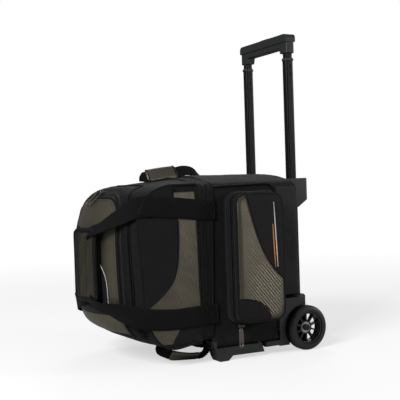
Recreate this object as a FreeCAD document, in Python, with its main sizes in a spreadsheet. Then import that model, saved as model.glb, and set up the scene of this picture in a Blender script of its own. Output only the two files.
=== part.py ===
import FreeCAD, Part
import math
import os
import Sketcher

# A wheeled bag for one bowling ball, with a telescopic handle.
# Row frame: +Z up, -Y the front of the bag, +X the side the right pocket is on, millimetres.
# The origin lies on the floor, midway across the bag and midway from the wrap to the wheels' backs.

DIMENSIONS = (
    ("overall_depth", 488, "front of the carry wrap to the back of the wheels"),
    ("wheel_diameter", 90, "tyre diameter"),
    ("wheel_width", 24, "tyre width"),
    ("wheel_middle", 139, "centre plane to the middle of a wheel"),
    ("rim_radius", 33.3, "outside of the spoked rim"),
    ("bearing_radius", 11, "outer race of a 608 bearing"),
    ("axle_radius", 3.95, "axle bolt shank"),
    ("running_gap", 0.05, "clearance all round a sliding or turning fit"),
    ("seam_gap", 0.3, "clearance between neighbouring pieces"),
    ("bag_width", 276, "across the side panels, without pockets"),
    ("bag_floor", 26, "height of the underside of the main body"),
    ("side_height", 341, "height of the top edge of the side panels"),
    ("crown_rise", 20, "how far the top bows up above the side panels"),
    ("wall", 4, "padded fabric thickness"),
    ("body_depth", 200, "front to back of the main body"),
    ("back_gap", 7, "back panel to the axle line"),
    ("gusset_depth", 37, "front to back of the zipped gusset"),
    ("chain_width", 5, "width of a zip chain"),
    ("belly_height", 48, "height of the gusset and front section at their lower side edges"),
    ("belly_drop", 17, "how far their underside bows down below those edges"),
    ("front_side_depth", 117, "side panel of the front section, front to back"),
    ("front_bulge", 60, "how far the front section bows out ahead of its side seams"),
    ("door_width", 224, "opening of the front door"),
    ("door_foot", 60, "height of the lower edge of the door opening"),
    ("door_top", 332, "height of the upper edge of the door opening"),
    ("door_corner", 60, "corner radius at the top of the door"),
    ("pocket_depth", 42, "how far a side pocket stands out"),
    ("pocket_front_gap", 25, "front edge of the main body to the pocket"),
    ("pocket_length", 112, "side pocket, front to back"),
    ("pocket_foot", 72, "height of the pocket's lower edge"),
    ("pocket_top", 325, "height of the pocket's upper edge"),
    ("pocket_corner", 22, "corner radius of the pocket"),
    ("tube_spacing", 158.6, "between the two telescopic tubes"),
    ("tube_gap", 15.8, "axle line back to the tube centres"),
    ("outer_tube_wide", 18.2, "outer tube, across the bag"),
    ("outer_tube_deep", 21.7, "outer tube, front to back"),
    ("middle_tube_wide", 15.5, "middle tube, across the bag"),
    ("middle_tube_deep", 19, "middle tube, front to back"),
    ("inner_tube_wide", 13, "inner tube, across the bag"),
    ("inner_tube_deep", 16.5, "inner tube, front to back"),
    ("tube_corner", 3.9, "corner radius of the middle tube"),
    ("outer_tube_foot", 66, "lower end of the outer tubes"),
    ("outer_tube_top", 346.5, "upper end of the outer tubes"),
    ("middle_tube_foot", 300, "lower end of the middle tubes, drawn out"),
    ("middle_tube_top", 595, "upper end of the middle tubes, drawn out"),
    ("inner_tube_foot", 325, "lower end of the inner tubes"),
    ("detent_drop", 11, "upper end of a middle tube down to its first detent hole"),
    ("detent_step", 16, "between detent holes"),
    ("grip_foot", 611, "lower end of the grip's end bosses"),
    ("grip_split", 634, "joint between the two halves of the grip"),
    ("grip_top", 650.5, "upper face of the grip"),
    ("button_top", 653, "upper face of the release button"),
    ("button_length", 38, "release button, along the grip"),
    ("housing_half", 102, "half the width of the handle housing"),
    ("housing_foot", 287, "lower edge of the handle housing"),
    ("housing_top", 349, "upper face of the handle housing"),
    ("bracket_half", 98, "half the width of the lower tube bracket"),
    ("bracket_foot", 62, "lower face of the tube bracket"),
    ("bracket_top", 106, "upper face of the tube bracket"),
    ("plastic", 3, "wall of a moulded housing"),
    ("wheel_box_inner", 112, "centre plane to the inner face of a wheel housing"),
    ("wheel_box_wall", 11, "wall that carries the axle bolt"),
    ("wheel_box_front", 62, "front of a wheel housing, ahead of the axle"),
    ("wheel_box_top", 108, "upper face of a wheel housing"),
    ("screw_radius", 2.4, "shank of every self-tapping screw"),
    ("screw_side", 122, "centre plane to the screws in the underside"),
    ("screw_seat", 16, "height the underside screw heads bear on"),
    ("webbing", 2.5, "thickness of the strap webbing"),
    ("strap_width", 41, "width of the strap webbing"),
    ("lower_strap_foot", 75, "lower edge of the lower carry strap"),
    ("upper_strap_top", 314, "upper edge of the upper carry strap"),
    ("wrap_foot", 125, "lower edge of the carry wrap"),
    ("wrap_top", 270, "upper edge of the carry wrap"),
    ("short_webbing_half", 12.5, "half the width of the short handles' webbing"),
    ("barrel_radius", 1.3, "barrel that a zip pull turns on"),
    ("pull_spacing", 11, "centre plane to each pull of the door zip"),
    ("wrap_half", 40, "half the width of the carry wrap"),
    ("ball_diameter", 218.3, "largest regulation ball"),
)

ACROSS = FreeCAD.Vector(1, 0, 0)
ALONG = FreeCAD.Vector(0, 1, 0)
UP = FreeCAD.Vector(0, 0, 1)
CORNER_RISE = 1 - math.sqrt(0.5)
SIDE = "YZ_Plane"
FRONT = "XZ_Plane"
PLAN = "XY_Plane"
SPOKE_COUNT = 10
PULL_SLOPE = FreeCAD.Rotation(ACROSS, 40)

doc = FreeCAD.newDocument("roller_bag")
nodes = []


class Size:
    """A length: its value in millimetres and the sheet expression it follows."""

    def __init__(self, value, text):
        self.value = float(value)
        self.text = text

    def __add__(self, other):
        other = as_size(other)
        return Size(self.value + other.value, f"({self.text} + {other.text})")

    def __sub__(self, other):
        other = as_size(other)
        return Size(self.value - other.value, f"({self.text} - {other.text})")

    def __mul__(self, other):
        other = as_size(other)
        return Size(self.value * other.value, f"({self.text} * {other.text})")

    def __truediv__(self, other):
        other = as_size(other)
        return Size(self.value / other.value, f"({self.text} / {other.text})")

    def __radd__(self, other):
        return as_size(other) + self

    def __rsub__(self, other):
        return as_size(other) - self

    def __neg__(self):
        return self * -1


def as_size(number):
    """A plain number as a Size; a Size as it is."""
    if isinstance(number, Size):
        return number
    return Size(number, f"({float(number)!r})")


def fill_sheet():
    """Write the driving dimensions into the spreadsheet, one row each."""
    sheet = doc.addObject("Spreadsheet::Sheet", "dims")
    for row, (alias, value, note) in enumerate(DIMENSIONS, start=1):
        sheet.set(f"A{row}", alias)
        sheet.set(f"B{row}", str(value))
        sheet.set(f"C{row}", note)
        sheet.setAlias(f"B{row}", alias)
    doc.recompute()
    return {alias: Size(value, f"dims.{alias}") for alias, value, _ in DIMENSIONS}


def bind(thing, name, length):
    """Tie a property to the sheet."""
    thing.setExpression(name, as_size(length).text)


def vector(across, up):
    return FreeCAD.Vector(across, up, 0)


# Outlines are lists of corners, counter-clockwise. A corner is (across, up) or (across, up, rise),
# where rise is how far the edge that leaves it bows outwards, as an arc.

def box_outline(left, low, right, high):
    return [(left, low), (right, low), (right, high), (left, high)]


def rounded_outline(left, low, right, high, radius):
    rise = radius * CORNER_RISE
    return [
        (left + radius, low),
        (right - radius, low, rise),
        (right, low + radius),
        (right, high - radius, rise),
        (right - radius, high),
        (left + radius, high, rise),
        (left, high - radius),
        (left, low + radius, rise),
    ]


def crowned_outline(half, low, high, rise, drop=None):
    """A panel across the bag whose top bows up by rise and whose foot may bow down by drop."""
    foot = (-half, low) if drop is None else (-half, low, drop)
    return [foot, (half, low), (half, high, rise), (-half, high)]


def arched_outline(half, low, high, corner):
    """A panel with square lower corners and round upper ones."""
    rise = corner * CORNER_RISE
    return [
        (-half, low),
        (half, low),
        (half, high - corner, rise),
        (half - corner, high),
        (corner - half, high, rise),
        (-half, high - corner),
    ]


def new_body(name, keep=True):
    """An empty body. It becomes a node of the bag unless it is only a tool for others."""
    body = doc.addObject("PartDesign::Body", name)
    body.Label = name
    if keep:
        nodes.append(body)
    return body


def new_sketch(body, plane, level, centre):
    """A sketch on one of the body's own origin planes, at a level along that plane's axis."""
    sketch = body.newObject("Sketcher::SketchObject", body.Label + "_sketch")
    support = [face for face in body.Origin.OriginFeatures if face.Role == plane][0]
    sketch.AttachmentSupport = [(support, "")]
    sketch.MapMode = "FlatFace"
    bind(sketch, "AttachmentOffset.Base.z", -as_size(level) if plane == FRONT else level)
    bind(sketch, "AttachmentOffset.Base.x", centre[0])
    bind(sketch, "AttachmentOffset.Base.y", centre[1])
    return sketch


def hold(sketch, kind, length, *place):
    """Add one driving constraint and tie it to the sheet."""
    length = as_size(length)
    number = sketch.addConstraint(Sketcher.Constraint(kind, *place, length.value))
    bind(sketch, f"Constraints[{number}]", length)


def draw_edge(sketch, start, end, rise):
    """Add a line or an arc; return its number and which of its ends is the start."""
    first = vector(start[0].value, start[1].value)
    last = vector(end[0].value, end[1].value)
    if rise is None:
        return sketch.addGeometry(Part.LineSegment(first, last), False), 1
    chord = last - first
    outwards = vector(chord.y, -chord.x).normalize()
    middle = (first + last) * 0.5 + outwards * rise.value
    bows_out = rise.value > 0
    arc = Part.Arc(first, middle, last) if bows_out else Part.Arc(last, middle, first)
    number = sketch.addGeometry(arc, False)
    across, up = end[0] - start[0], end[1] - start[1]
    chord_squared = across * across + up * up
    radius = (chord_squared + rise * rise * 4) / (rise * (8 if bows_out else -8))
    hold(sketch, "Radius", radius, number)
    return number, 1 if bows_out else 2


def draw_outline(sketch, outline):
    corners = [tuple(as_size(value) for value in corner) for corner in outline]
    edges = []
    for here, corner in enumerate(corners):
        following = corners[(here + 1) % len(corners)]
        rise = corner[2] if len(corner) == 3 else None
        edges.append(draw_edge(sketch, corner, following, rise))
    for here, (number, start) in enumerate(edges):
        other, other_start = edges[(here + 1) % len(edges)]
        sketch.addConstraint(Sketcher.Constraint("Coincident", number, 3 - start, other, other_start))
        hold(sketch, "DistanceX", corners[here][0], -1, 1, number, start)
        hold(sketch, "DistanceY", corners[here][1], -1, 1, number, start)


def draw_circles(sketch, centres, radius):
    for across, up in centres:
        across, up = as_size(across), as_size(up)
        circle = Part.Circle(vector(across.value, up.value), FreeCAD.Vector(0, 0, 1), 1)
        number = sketch.addGeometry(circle, False)
        hold(sketch, "Radius", radius, number)
        hold(sketch, "DistanceX", across, -1, 1, number, 3)
        hold(sketch, "DistanceY", up, -1, 1, number, 3)


def extrude(body, kind, plane, low, high, centre):
    """A pad or pocket that fills the space between two levels along a plane's axis."""
    low, high = as_size(low), as_size(high)
    grows_up = (kind == "Pad") != (plane == FRONT)
    sketch = new_sketch(body, plane, low if grows_up else high, centre)
    feature = body.newObject("PartDesign::" + kind, f"{body.Label}_{kind.lower()}")
    feature.Profile = sketch
    bind(feature, "Length", high - low)
    return sketch, feature


def slab(body, plane, outline, low, high, centre=(0, 0)):
    sketch, feature = extrude(body, "Pad", plane, low, high, centre)
    draw_outline(sketch, outline)
    return sketch, feature


def cut(body, plane, outline, low, high, centre=(0, 0)):
    sketch, _ = extrude(body, "Pocket", plane, low, high, centre)
    draw_outline(sketch, outline)


def disc(body, plane, centres, radius, low, high):
    sketch, _ = extrude(body, "Pad", plane, low, high, (0, 0))
    draw_circles(sketch, centres, radius)


def bore(body, plane, centres, radius, low, high):
    sketch, _ = extrude(body, "Pocket", plane, low, high, (0, 0))
    draw_circles(sketch, centres, radius)


def runs_along(axis):
    """Picks straight edges that lie along an axis."""
    def wanted(edge):
        if not isinstance(edge.Curve, Part.Line):
            return False
        return abs(edge.Curve.Direction.dot(axis)) > 0.999
    return wanted


def has_radius(radius):
    """Picks round edges of one radius."""
    def wanted(edge):
        return isinstance(edge.Curve, Part.Circle) and abs(edge.Curve.Radius - radius.value) < 0.01
    return wanted


def round_edges(body, wanted, radius):
    """Fillet the edges of the body's last feature that are wanted."""
    doc.recompute()
    last = body.Tip
    names = [f"Edge{n}" for n, edge in enumerate(last.Shape.Edges, start=1) if wanted(edge)]
    fillet = body.newObject("PartDesign::Fillet", body.Label + "_fillet")
    fillet.Base = (last, names)
    bind(fillet, "Radius", radius)


def cylinder(name, radius, low, high, place, axis):
    """A loose cylinder from low to high along an axis, through a place across it."""
    low, high = as_size(low), as_size(high)
    rod = doc.addObject("Part::Cylinder", name)
    bind(rod, "Radius", radius)
    bind(rod, "Height", high - low)
    turn = FreeCAD.Rotation(FreeCAD.Vector(0, 0, 1), axis)
    rod.Placement = FreeCAD.Placement(FreeCAD.Vector(0, 0, 0), turn)
    base = [as_size(value) for value in place]
    along = [index for index in range(3) if abs(axis[index]) > 0.5][0]
    base[along] = low if axis[along] > 0 else -low
    for letter, value in zip("xyz", base):
        bind(rod, "Placement.Base." + letter, value)
    return rod


def joined(kind, name, parts, keep=True):
    """A boolean or a loose group of parts."""
    whole = doc.addObject("Part::" + kind, name)
    whole.Label = name
    if kind == "Compound":
        whole.Links = parts
    elif kind == "Cut":
        whole.Base, whole.Tool = parts
    else:
        whole.Shapes = parts
    if keep:
        nodes.append(whole)
    return whole


def mirrored(source, name, keep=True):
    """The same piece on the other side of the bag."""
    copy = doc.addObject("Part::Mirroring", name)
    copy.Label = name
    copy.Source = source
    copy.Normal = ACROSS
    if keep:
        nodes.append(copy)
    return copy


size = fill_sheet()

# Places worked out from the driving dimensions.
half = size["bag_width"] / 2
gap = size["seam_gap"]
play = size["running_gap"]
wall = size["wall"]
floor = size["bag_floor"]
axle_height = size["wheel_diameter"] / 2
axle_y = size["overall_depth"] / 2 - axle_height
body_back = axle_y - size["back_gap"]
body_front = body_back - size["body_depth"]
ring_front = body_front - size["gusset_depth"]
seam_front = ring_front - size["front_side_depth"]
bag_front = seam_front - size["front_bulge"]
wrap_front = -size["overall_depth"] / 2
tube_y = axle_y + size["tube_gap"]
tube_x = size["tube_spacing"] / 2
crown = size["side_height"] + size["crown_rise"]
belly = size["belly_height"] - size["belly_drop"]
grip_split = size["grip_split"]
wheel_outer = size["wheel_middle"] + size["wheel_width"] / 2
wheel_inner = size["wheel_middle"] - size["wheel_width"] / 2
box_inner = size["wheel_box_inner"]
box_face = box_inner + size["wheel_box_wall"]
box_front = axle_y - size["wheel_box_front"]
pocket_front = body_front + size["pocket_front_gap"]
pocket_back = pocket_front + size["pocket_length"]
pocket_face = half + size["pocket_depth"]
screw_hole = size["screw_radius"] + 0.1


# Soft shells of the bag.

def floor_screw_places():
    """Where screws enter the underside: two through each foot, two through each wheel housing."""
    rows = (body_front + 53, body_front + 93, box_front - 25, box_front - 9)
    return [(side * size["screw_side"], row) for row in rows for side in (as_size(1), as_size(-1))]


def back_screw_places():
    """Where screws enter the back panel: two into the handle housing, two into the bracket."""
    levels = (size["housing_top"] - 24, size["bracket_top"] - 22)
    return [(as_size(side * 40), level) for level in levels for side in (1, -1)]


def notch_for_wheel_boxes(body):
    """Clear the two lower back corners, where the wheel housings stand."""
    corner = box_outline(box_front - gap, -1, body_back + 1, size["wheel_box_top"] + gap)
    cut(body, SIDE, corner, box_inner - gap, half + 1)
    cut(body, SIDE, corner, -half - 1, gap - box_inner)


def build_body_shell():
    body = new_body("body_shell")
    outside = crowned_outline(half, floor, size["side_height"], size["crown_rise"])
    slab(body, FRONT, outside, body_front, body_back)
    round_edges(body, runs_along(ALONG), wall * 2)
    inside = crowned_outline(half - wall, floor + wall, size["side_height"] - wall, size["crown_rise"])
    cut(body, FRONT, inside, body_front - 1, body_back - wall)
    notch_for_wheel_boxes(body)
    bore(body, PLAN, floor_screw_places(), screw_hole, floor - 1, floor + wall + 1)
    bore(body, FRONT, back_screw_places(), screw_hole, body_back - wall - 1, body_back + 1)


def build_boards():
    """The stiff boards that keep the floor and the back flat."""
    base = new_body("base_board")
    low = floor + wall + gap
    outline = box_outline(gap * 4 + wall - half, body_front + 8, half - wall - gap * 4, body_back - 12)
    slab(base, PLAN, outline, low, low + 3.7)
    notch_for_wheel_boxes(base)
    bore(base, PLAN, floor_screw_places(), screw_hole, low - 1, low + 5)
    back = new_body("back_board")
    inner = body_back - wall - gap
    slab(back, FRONT, box_outline(gap * 6 - box_inner, low + 6, box_inner - gap * 6, crown - 30),
         inner - 4, inner)
    bore(back, FRONT, back_screw_places(), screw_hole, inner - 5, inner + 1)


def build_ball_cup():
    """The foam block with a dish that the ball rests in."""
    cup = new_body("cup_block", keep=False)
    low = floor + wall + 4.5
    middle = body_front + 68
    slab(cup, PLAN, rounded_outline(as_size(-100), middle - 64, as_size(100), middle + 100, as_size(20)),
         low, low + 25)
    ball = doc.addObject("Part::Sphere", "dish")
    radius = size["ball_diameter"] / 2
    bind(ball, "Radius", radius)
    bind(ball, "Placement.Base.y", middle)
    bind(ball, "Placement.Base.z", low + radius + 11)
    joined("Cut", "ball_cup_foam", [cup, ball])


def ring(name, low, high, thick, keep):
    """A band round the bag's section, such as half of the gusset."""
    body = new_body(name, keep)
    outside = crowned_outline(half, size["belly_height"], size["side_height"], size["crown_rise"],
                              size["belly_drop"])
    slab(body, FRONT, outside, low, high)
    round_edges(body, runs_along(ALONG), wall * 2)
    inside = crowned_outline(half - thick, size["belly_height"] + thick, size["side_height"] - thick,
                             size["crown_rise"], size["belly_drop"])
    cut(body, FRONT, inside, low - 1, high + 1)
    return body


def build_gusset():
    """Two fabric bands with a zip chain between them, joining the main body to the front section."""
    middle = (body_front + ring_front) / 2
    chain = size["chain_width"] / 2
    back = ring("gusset_back_band", middle + chain + gap, body_front - gap, wall, False)
    front = ring("gusset_front_band", ring_front + gap, middle - chain - gap, wall, False)
    joined("Compound", "gusset_bands", [back, front])
    ring("gusset_zipper", middle - chain, middle + chain, wall - 1, True)


def front_block(name, inset, rear):
    """The bulging front section as one solid, drawn in by inset: side, plan and front views in common."""
    top = crown - inset
    low = belly + inset
    nose = bag_front + inset
    side = new_body(name + "_side", keep=False)
    slab(side, SIDE, [
        (ring_front - 64, low),
        (rear, low),
        (rear, top - 2, as_size(4)),
        (seam_front, top - 23, as_size(14)),
        (nose, crown - 111),
        (nose, belly + 100, as_size(22)),
    ], -half - 5, half + 5)
    plan = new_body(name + "_plan", keep=False)
    slab(plan, PLAN, [
        (inset - half, seam_front, size["front_bulge"] - inset),
        (half - inset, seam_front),
        (half - inset, rear),
        (inset - half, rear),
    ], 0, crown + 10)
    front = new_body(name + "_front", keep=False)
    slab(front, FRONT, crowned_outline(half - inset, size["belly_height"] + inset,
                                       size["side_height"] - inset, size["crown_rise"],
                                       size["belly_drop"]), bag_front - 5, rear)
    return joined("MultiCommon", name, [side, plan, front], keep=False)


def door_prism(name, inset):
    """A block that reaches through the front wall with the outline of the door."""
    body = new_body(name, keep=False)
    outline = arched_outline(size["door_width"] / 2 - inset, size["door_foot"] + gap * 2,
                             size["door_top"] - inset, size["door_corner"] - inset)
    slab(body, FRONT, outline, bag_front - 10, seam_front + 12)
    return body


def build_front_section():
    """The front section, its door and the door's zip, all cut from one bulging shell."""
    outside = front_block("front_outside", as_size(0), ring_front)
    inside = front_block("front_inside", wall, ring_front + 5)
    shell = joined("Cut", "front_whole_shell", [outside, inside], keep=False)
    opening = new_body("door_opening", keep=False)
    slab(opening, FRONT, arched_outline(size["door_width"] / 2, size["door_foot"], size["door_top"],
                                        size["door_corner"]), bag_front - 10, seam_front + 12)
    joined("Cut", "front_shell", [shell, opening])
    joined("MultiCommon", "front_door", [shell, door_prism("door_block", gap * 2 + 5)])
    strip = joined("Cut", "door_zip_block", [
        door_prism("door_zip_outer", gap * 2),
        door_prism("door_zip_inner", gap * 3 + 4),
    ], keep=False)
    joined("MultiCommon", "door_zipper", [shell, strip])


# Side pockets.

def pocket_outline(inset):
    return rounded_outline(pocket_front + inset, size["pocket_foot"] + inset, pocket_back - inset,
                           size["pocket_top"] - inset, size["pocket_corner"] - inset)


def build_right_pocket():
    """A tray on the side panel, a lid of panel and half gusset, and the zip chain between them."""
    zip_low = half + 18
    zip_high = zip_low + 4
    skin = wall - 1
    shell = new_body("right_pocket_shell")
    slab(shell, SIDE, pocket_outline(as_size(0)), half + gap, zip_low - gap)
    cut(shell, SIDE, pocket_outline(skin), half + gap + skin, zip_low)
    lid = new_body("right_pocket_lid")
    slab(lid, SIDE, pocket_outline(as_size(0)), zip_high, pocket_face)
    cut(lid, SIDE, pocket_outline(skin), zip_high - 1, pocket_face - skin)
    chain = new_body("right_pocket_zip", keep=False)
    slab(chain, SIDE, pocket_outline(as_size(0)), zip_low, zip_high - gap)
    cut(chain, SIDE, pocket_outline(skin), zip_low - 1, zip_high)
    slider = new_body("right_pocket_slider")
    foot = size["pocket_foot"]
    start = pocket_front + 11
    slab(slider, PLAN, rounded_outline(zip_low - 3, start, zip_high + 3, start + 14, as_size(3)),
         foot - 6, foot - gap)
    return shell, lid, chain, slider, build_right_pocket_pull(start, (zip_low + zip_high) / 2)


def build_right_pocket_pull(start, middle):
    """A flat tab that hangs from a barrel just below its slider."""
    foot = size["pocket_foot"]
    radius = size["barrel_radius"]
    barrel_height = foot - 6 - gap - radius
    plate = new_body("right_pocket_plate", keep=False)
    slab(plate, SIDE, rounded_outline(start + 2, foot - 46, start + 12, barrel_height, as_size(3)),
         middle - 1, middle + 1)
    bore(plate, SIDE, [(start + 7, foot - 41)], as_size(2.2), middle - 2, middle + 2)
    barrel = cylinder("right_pocket_barrel", radius, start + 3, start + 11, (middle, 0, barrel_height),
                      ALONG)
    return joined("MultiFuse", "right_pocket_pull", [plate, barrel])


def build_pockets():
    shell, lid, chain, slider, pull = build_right_pocket()
    mirrored(shell, "left_pocket_shell")
    mirrored(lid, "left_pocket_lid")
    joined("Compound", "pocket_zippers", [chain, mirrored(chain, "left_pocket_zip", keep=False)])
    mirrored(slider, "left_pocket_slider")
    mirrored(pull, "left_pocket_pull")


# Front zip sliders and their pull tabs lie on the sloping top edge of the door.

def on_slope(lead, rise):
    """A point lead ahead of the door's top edge and rise above it, along the slope there."""
    edge = FreeCAD.Vector(0, seam_front.value - 17, size["door_top"].value - 3)
    forward = PULL_SLOPE.multVec(-ALONG)
    return edge + forward * lead + PULL_SLOPE.multVec(UP) * rise


def leaning_block(name, middle, wide, long, thick, lead):
    """A flat block on the slope, centred on a plane across the bag, whose upper end lies at lead."""
    block = doc.addObject("Part::Box", name)
    block.Label = name
    bind(block, "Length", wide)
    bind(block, "Width", long)
    bind(block, "Height", thick)
    block.Placement = FreeCAD.Placement(on_slope(lead + long, 1.4), PULL_SLOPE)
    block.Placement.Base.x = middle - wide / 2
    return block


def build_door_pulls():
    """Each slider, and ahead of it the tab that turns on a barrel."""
    radius = size["barrel_radius"]
    barrel_lead = 5 + radius.value
    for side, name in ((1, "right"), (-1, "left")):
        middle = size["pull_spacing"] * side
        nodes.append(leaning_block(name + "_door_slider", middle.value, 12, 8, 4.5, -4))
        plate = leaning_block(name + "_door_plate", middle.value, 8, 39 - barrel_lead, 2, barrel_lead)
        place = on_slope(barrel_lead, 2.4)
        barrel = cylinder(name + "_door_barrel", radius, middle - 4, middle + 4, (0, place.y, place.z), ACROSS)
        joined("MultiFuse", name + "_door_pull", [plate, barrel])


# Carry straps, their padded wrap, and the two short handles.

def build_right_strap():
    """Webbing sewn on behind the gusset, run round the front and up through the wrap."""
    band = size["webbing"]
    foot = size["lower_strap_foot"]
    top = size["upper_strap_top"]
    inner = half + 2.2
    bend = seam_front + 4
    front = bag_front - 9.5
    turn = as_size(19)
    path = [
        (inner, body_front + 6),
        (inner, bend, -turn),
        (size["wrap_half"] - 5, front),
        (as_size(5), front),
        (as_size(5), front - band),
        (size["wrap_half"] - 4.5, front - band, turn),
        (inner + band, bend),
        (inner + band, body_front + 6),
    ]
    strap = new_body("right_carry_strap")
    slab(strap, PLAN, path, foot, foot + size["strap_width"])
    slab(strap, FRONT, box_outline(as_size(5), foot, size["wrap_half"] - 5, top), front - band, front)
    slab(strap, PLAN, path, top - size["strap_width"], top)
    mirrored(strap, "left_carry_strap")


def build_wraps():
    """Two padded halves of the wrap, one ahead of the strap webbing and one behind it."""
    reach = size["wrap_half"]
    outline = rounded_outline(-reach, size["wrap_foot"], reach, size["wrap_top"], as_size(12))
    outer = new_body("right_wrap_pad")
    slab(outer, FRONT, outline, wrap_front, bag_front - 12 - gap)
    inner = new_body("left_wrap_pad")
    slab(inner, FRONT, outline, bag_front - 9, bag_front - 3)


def handle_band(room):
    """Side view of the webbing arch on the crown, grown by room."""
    rear = body_front + 50
    nose = ring_front - 50
    base = crown + 2
    return [
        (rear, base, as_size(17.5 + room)),
        (nose, base - 5),
        (nose + 5, base - 5, as_size(room - 15.5)),
        (rear - 5, base),
    ]


def build_top_handle():
    """A webbing arch along the crown with a padded wrap on its front part."""
    reach = size["short_webbing_half"]
    strap = new_body("top_handle_strap")
    slab(strap, SIDE, handle_band(0), -reach, reach)
    wrap = new_body("top_wrap_block", keep=False)
    nose = ring_front - 26
    rear = ring_front + 36
    slab(wrap, SIDE, [
        (nose, crown + 5, -as_size(4)),
        (rear, crown + 12),
        (rear, crown + 22.5, as_size(4)),
        (nose, crown + 15),
    ], -reach - 2.5, reach + 2.5)
    space = new_body("top_handle_space", keep=False)
    slab(space, SIDE, handle_band(0.6), -reach - gap, reach + gap)
    joined("Cut", "top_handle_grip", [wrap, space])


def build_bottom_handle():
    """A webbing loop along the underside, towards its right edge, with a padded wrap."""
    across = as_size(84)
    middle = ring_front - 12
    reach = size["short_webbing_half"]
    top = belly + 0.5
    strap = new_body("bottom_handle_strap")
    slab(strap, SIDE, [
        (middle - 39, top),
        (middle - 32, as_size(7)),
        (middle + 32, as_size(7)),
        (middle + 39, top),
        (middle + 35.8, top),
        (middle + 29, as_size(10)),
        (middle - 29, as_size(10)),
        (middle - 35.8, top),
    ], across - reach, across + reach)
    wrap = new_body("bottom_handle_wrap")
    slab(wrap, SIDE, box_outline(middle - 24, as_size(2.5), middle + 24, as_size(14)),
         across - reach - 3.5, across + reach + 3.5)
    cut(wrap, SIDE, box_outline(middle - 25, as_size(6.8), middle + 25, as_size(10.2)),
        across - reach - gap, across + reach + gap)


# Telescopic handle.

def tube_outline(wide, deep, corner):
    return rounded_outline(-wide / 2, -deep / 2, wide / 2, deep / 2, corner)


def tube(name, outer, inner, low, high, side, keep=True):
    """A hollow tube of the telescopic handle; outer and inner are (wide, deep, corner)."""
    body = new_body(name, keep)
    place = (tube_x * side, tube_y)
    slab(body, PLAN, tube_outline(*outer), low, high, place)
    cut(body, PLAN, tube_outline(*inner), low - 1, high + 1, place)
    return body


def tube_sections():
    """Outside and inside of the outer, middle and inner tubes, each a running fit in the next."""
    corner = size["tube_corner"]
    middle = (size["middle_tube_wide"], size["middle_tube_deep"], corner)
    inner = (size["inner_tube_wide"], size["inner_tube_deep"], corner - 1.2)
    return {
        "outer": (size["outer_tube_wide"], size["outer_tube_deep"], corner + 1.3),
        "in_outer": (middle[0] + play * 2, middle[1] + play * 2, middle[2] + play),
        "middle": middle,
        "in_middle": (inner[0] + play * 2, inner[1] + play * 2, inner[2] + play),
        "inner": inner,
        "in_inner": (inner[0] - 2, inner[1] - 2, inner[2] - 1),
    }


def build_tubes():
    section = tube_sections()
    pair = [tube(f"outer_tube_{side}", section["outer"], section["in_outer"], size["outer_tube_foot"],
                 size["outer_tube_top"], side, keep=False) for side in (1, -1)]
    joined("Compound", "outer_tubes", pair)
    for side, name, holes in ((1, "right", 2), (-1, "left", 3)):
        top = size["middle_tube_top"]
        middle = tube(name + "_middle_tube", section["middle"], section["in_middle"],
                      size["middle_tube_foot"], top, side)
        detents = [(tube_y, top - size["detent_drop"] - size["detent_step"] * n) for n in range(holes)]
        bore(middle, SIDE, detents, as_size(2.8), tube_x * side + 5, tube_x * side + 9)
        inner = tube(name + "_inner_tube", section["inner"], section["in_inner"],
                     size["inner_tube_foot"], size["grip_foot"] + 17, side)
        bore(inner, SIDE, [(tube_y, size["inner_tube_foot"] + 12)], as_size(2.6),
             tube_x * side + 4, tube_x * side + 8)
    collar = (size["outer_tube_wide"], size["outer_tube_deep"], size["tube_corner"] + 1.3)
    top = size["middle_tube_top"] + 0.1
    collars = [tube(f"middle_collar_{side}", collar, section["in_middle"], top, top + 5, side, keep=False)
               for side in (1, -1)]
    joined("Compound", "middle_collars", collars)


def build_latch():
    """Spring pins in the inner tubes, and the yoke under the button that draws them in."""
    pin_height = size["inner_tube_foot"] + 12
    pins = [cylinder(f"pin_{side}", as_size(2.5), tube_x * side + 1, tube_x * side + 6.5,
                     (0, tube_y, pin_height), ACROSS) for side in (1, -1)]
    joined("Compound", "lock_pins", pins)
    yoke = new_body("release_yoke")
    bar_low = grip_split + 0.4
    slab(yoke, PLAN, rounded_outline(-tube_x - 4, tube_y - 3, tube_x + 4, tube_y + 3, as_size(2.9)),
         bar_low, bar_low + 3.5)
    disc(yoke, PLAN, [(tube_x, tube_y), (-tube_x, tube_y)], as_size(1.5), pin_height + 8, bar_low + 1)
    button = new_body("push_button")
    reach = size["button_length"] / 2
    slab(button, PLAN, rounded_outline(-reach, tube_y - 6, reach, tube_y + 6, as_size(5.9)),
         bar_low + 3.7, size["button_top"])


def build_button_spring():
    """The coil under the yoke that lifts the button."""
    low = grip_split.value - 7.7
    coil_radius = 2.8
    wire_radius = 0.5
    turns = 4
    height = 6.8
    path = Part.makeHelix(height / turns, height, coil_radius)
    start = FreeCAD.Vector(coil_radius, 0, 0)
    section = Part.Wire([Part.makeCircle(wire_radius, start, ALONG)])
    coil = doc.addObject("Part::Feature", "button_spring")
    coil.Label = "button_spring"
    coil.Shape = Part.Wire(path).makePipeShell([section], True, True)
    coil.Placement = FreeCAD.Placement(FreeCAD.Vector(0, tube_y.value, low + wire_radius), FreeCAD.Rotation())
    nodes.append(coil)


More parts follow.
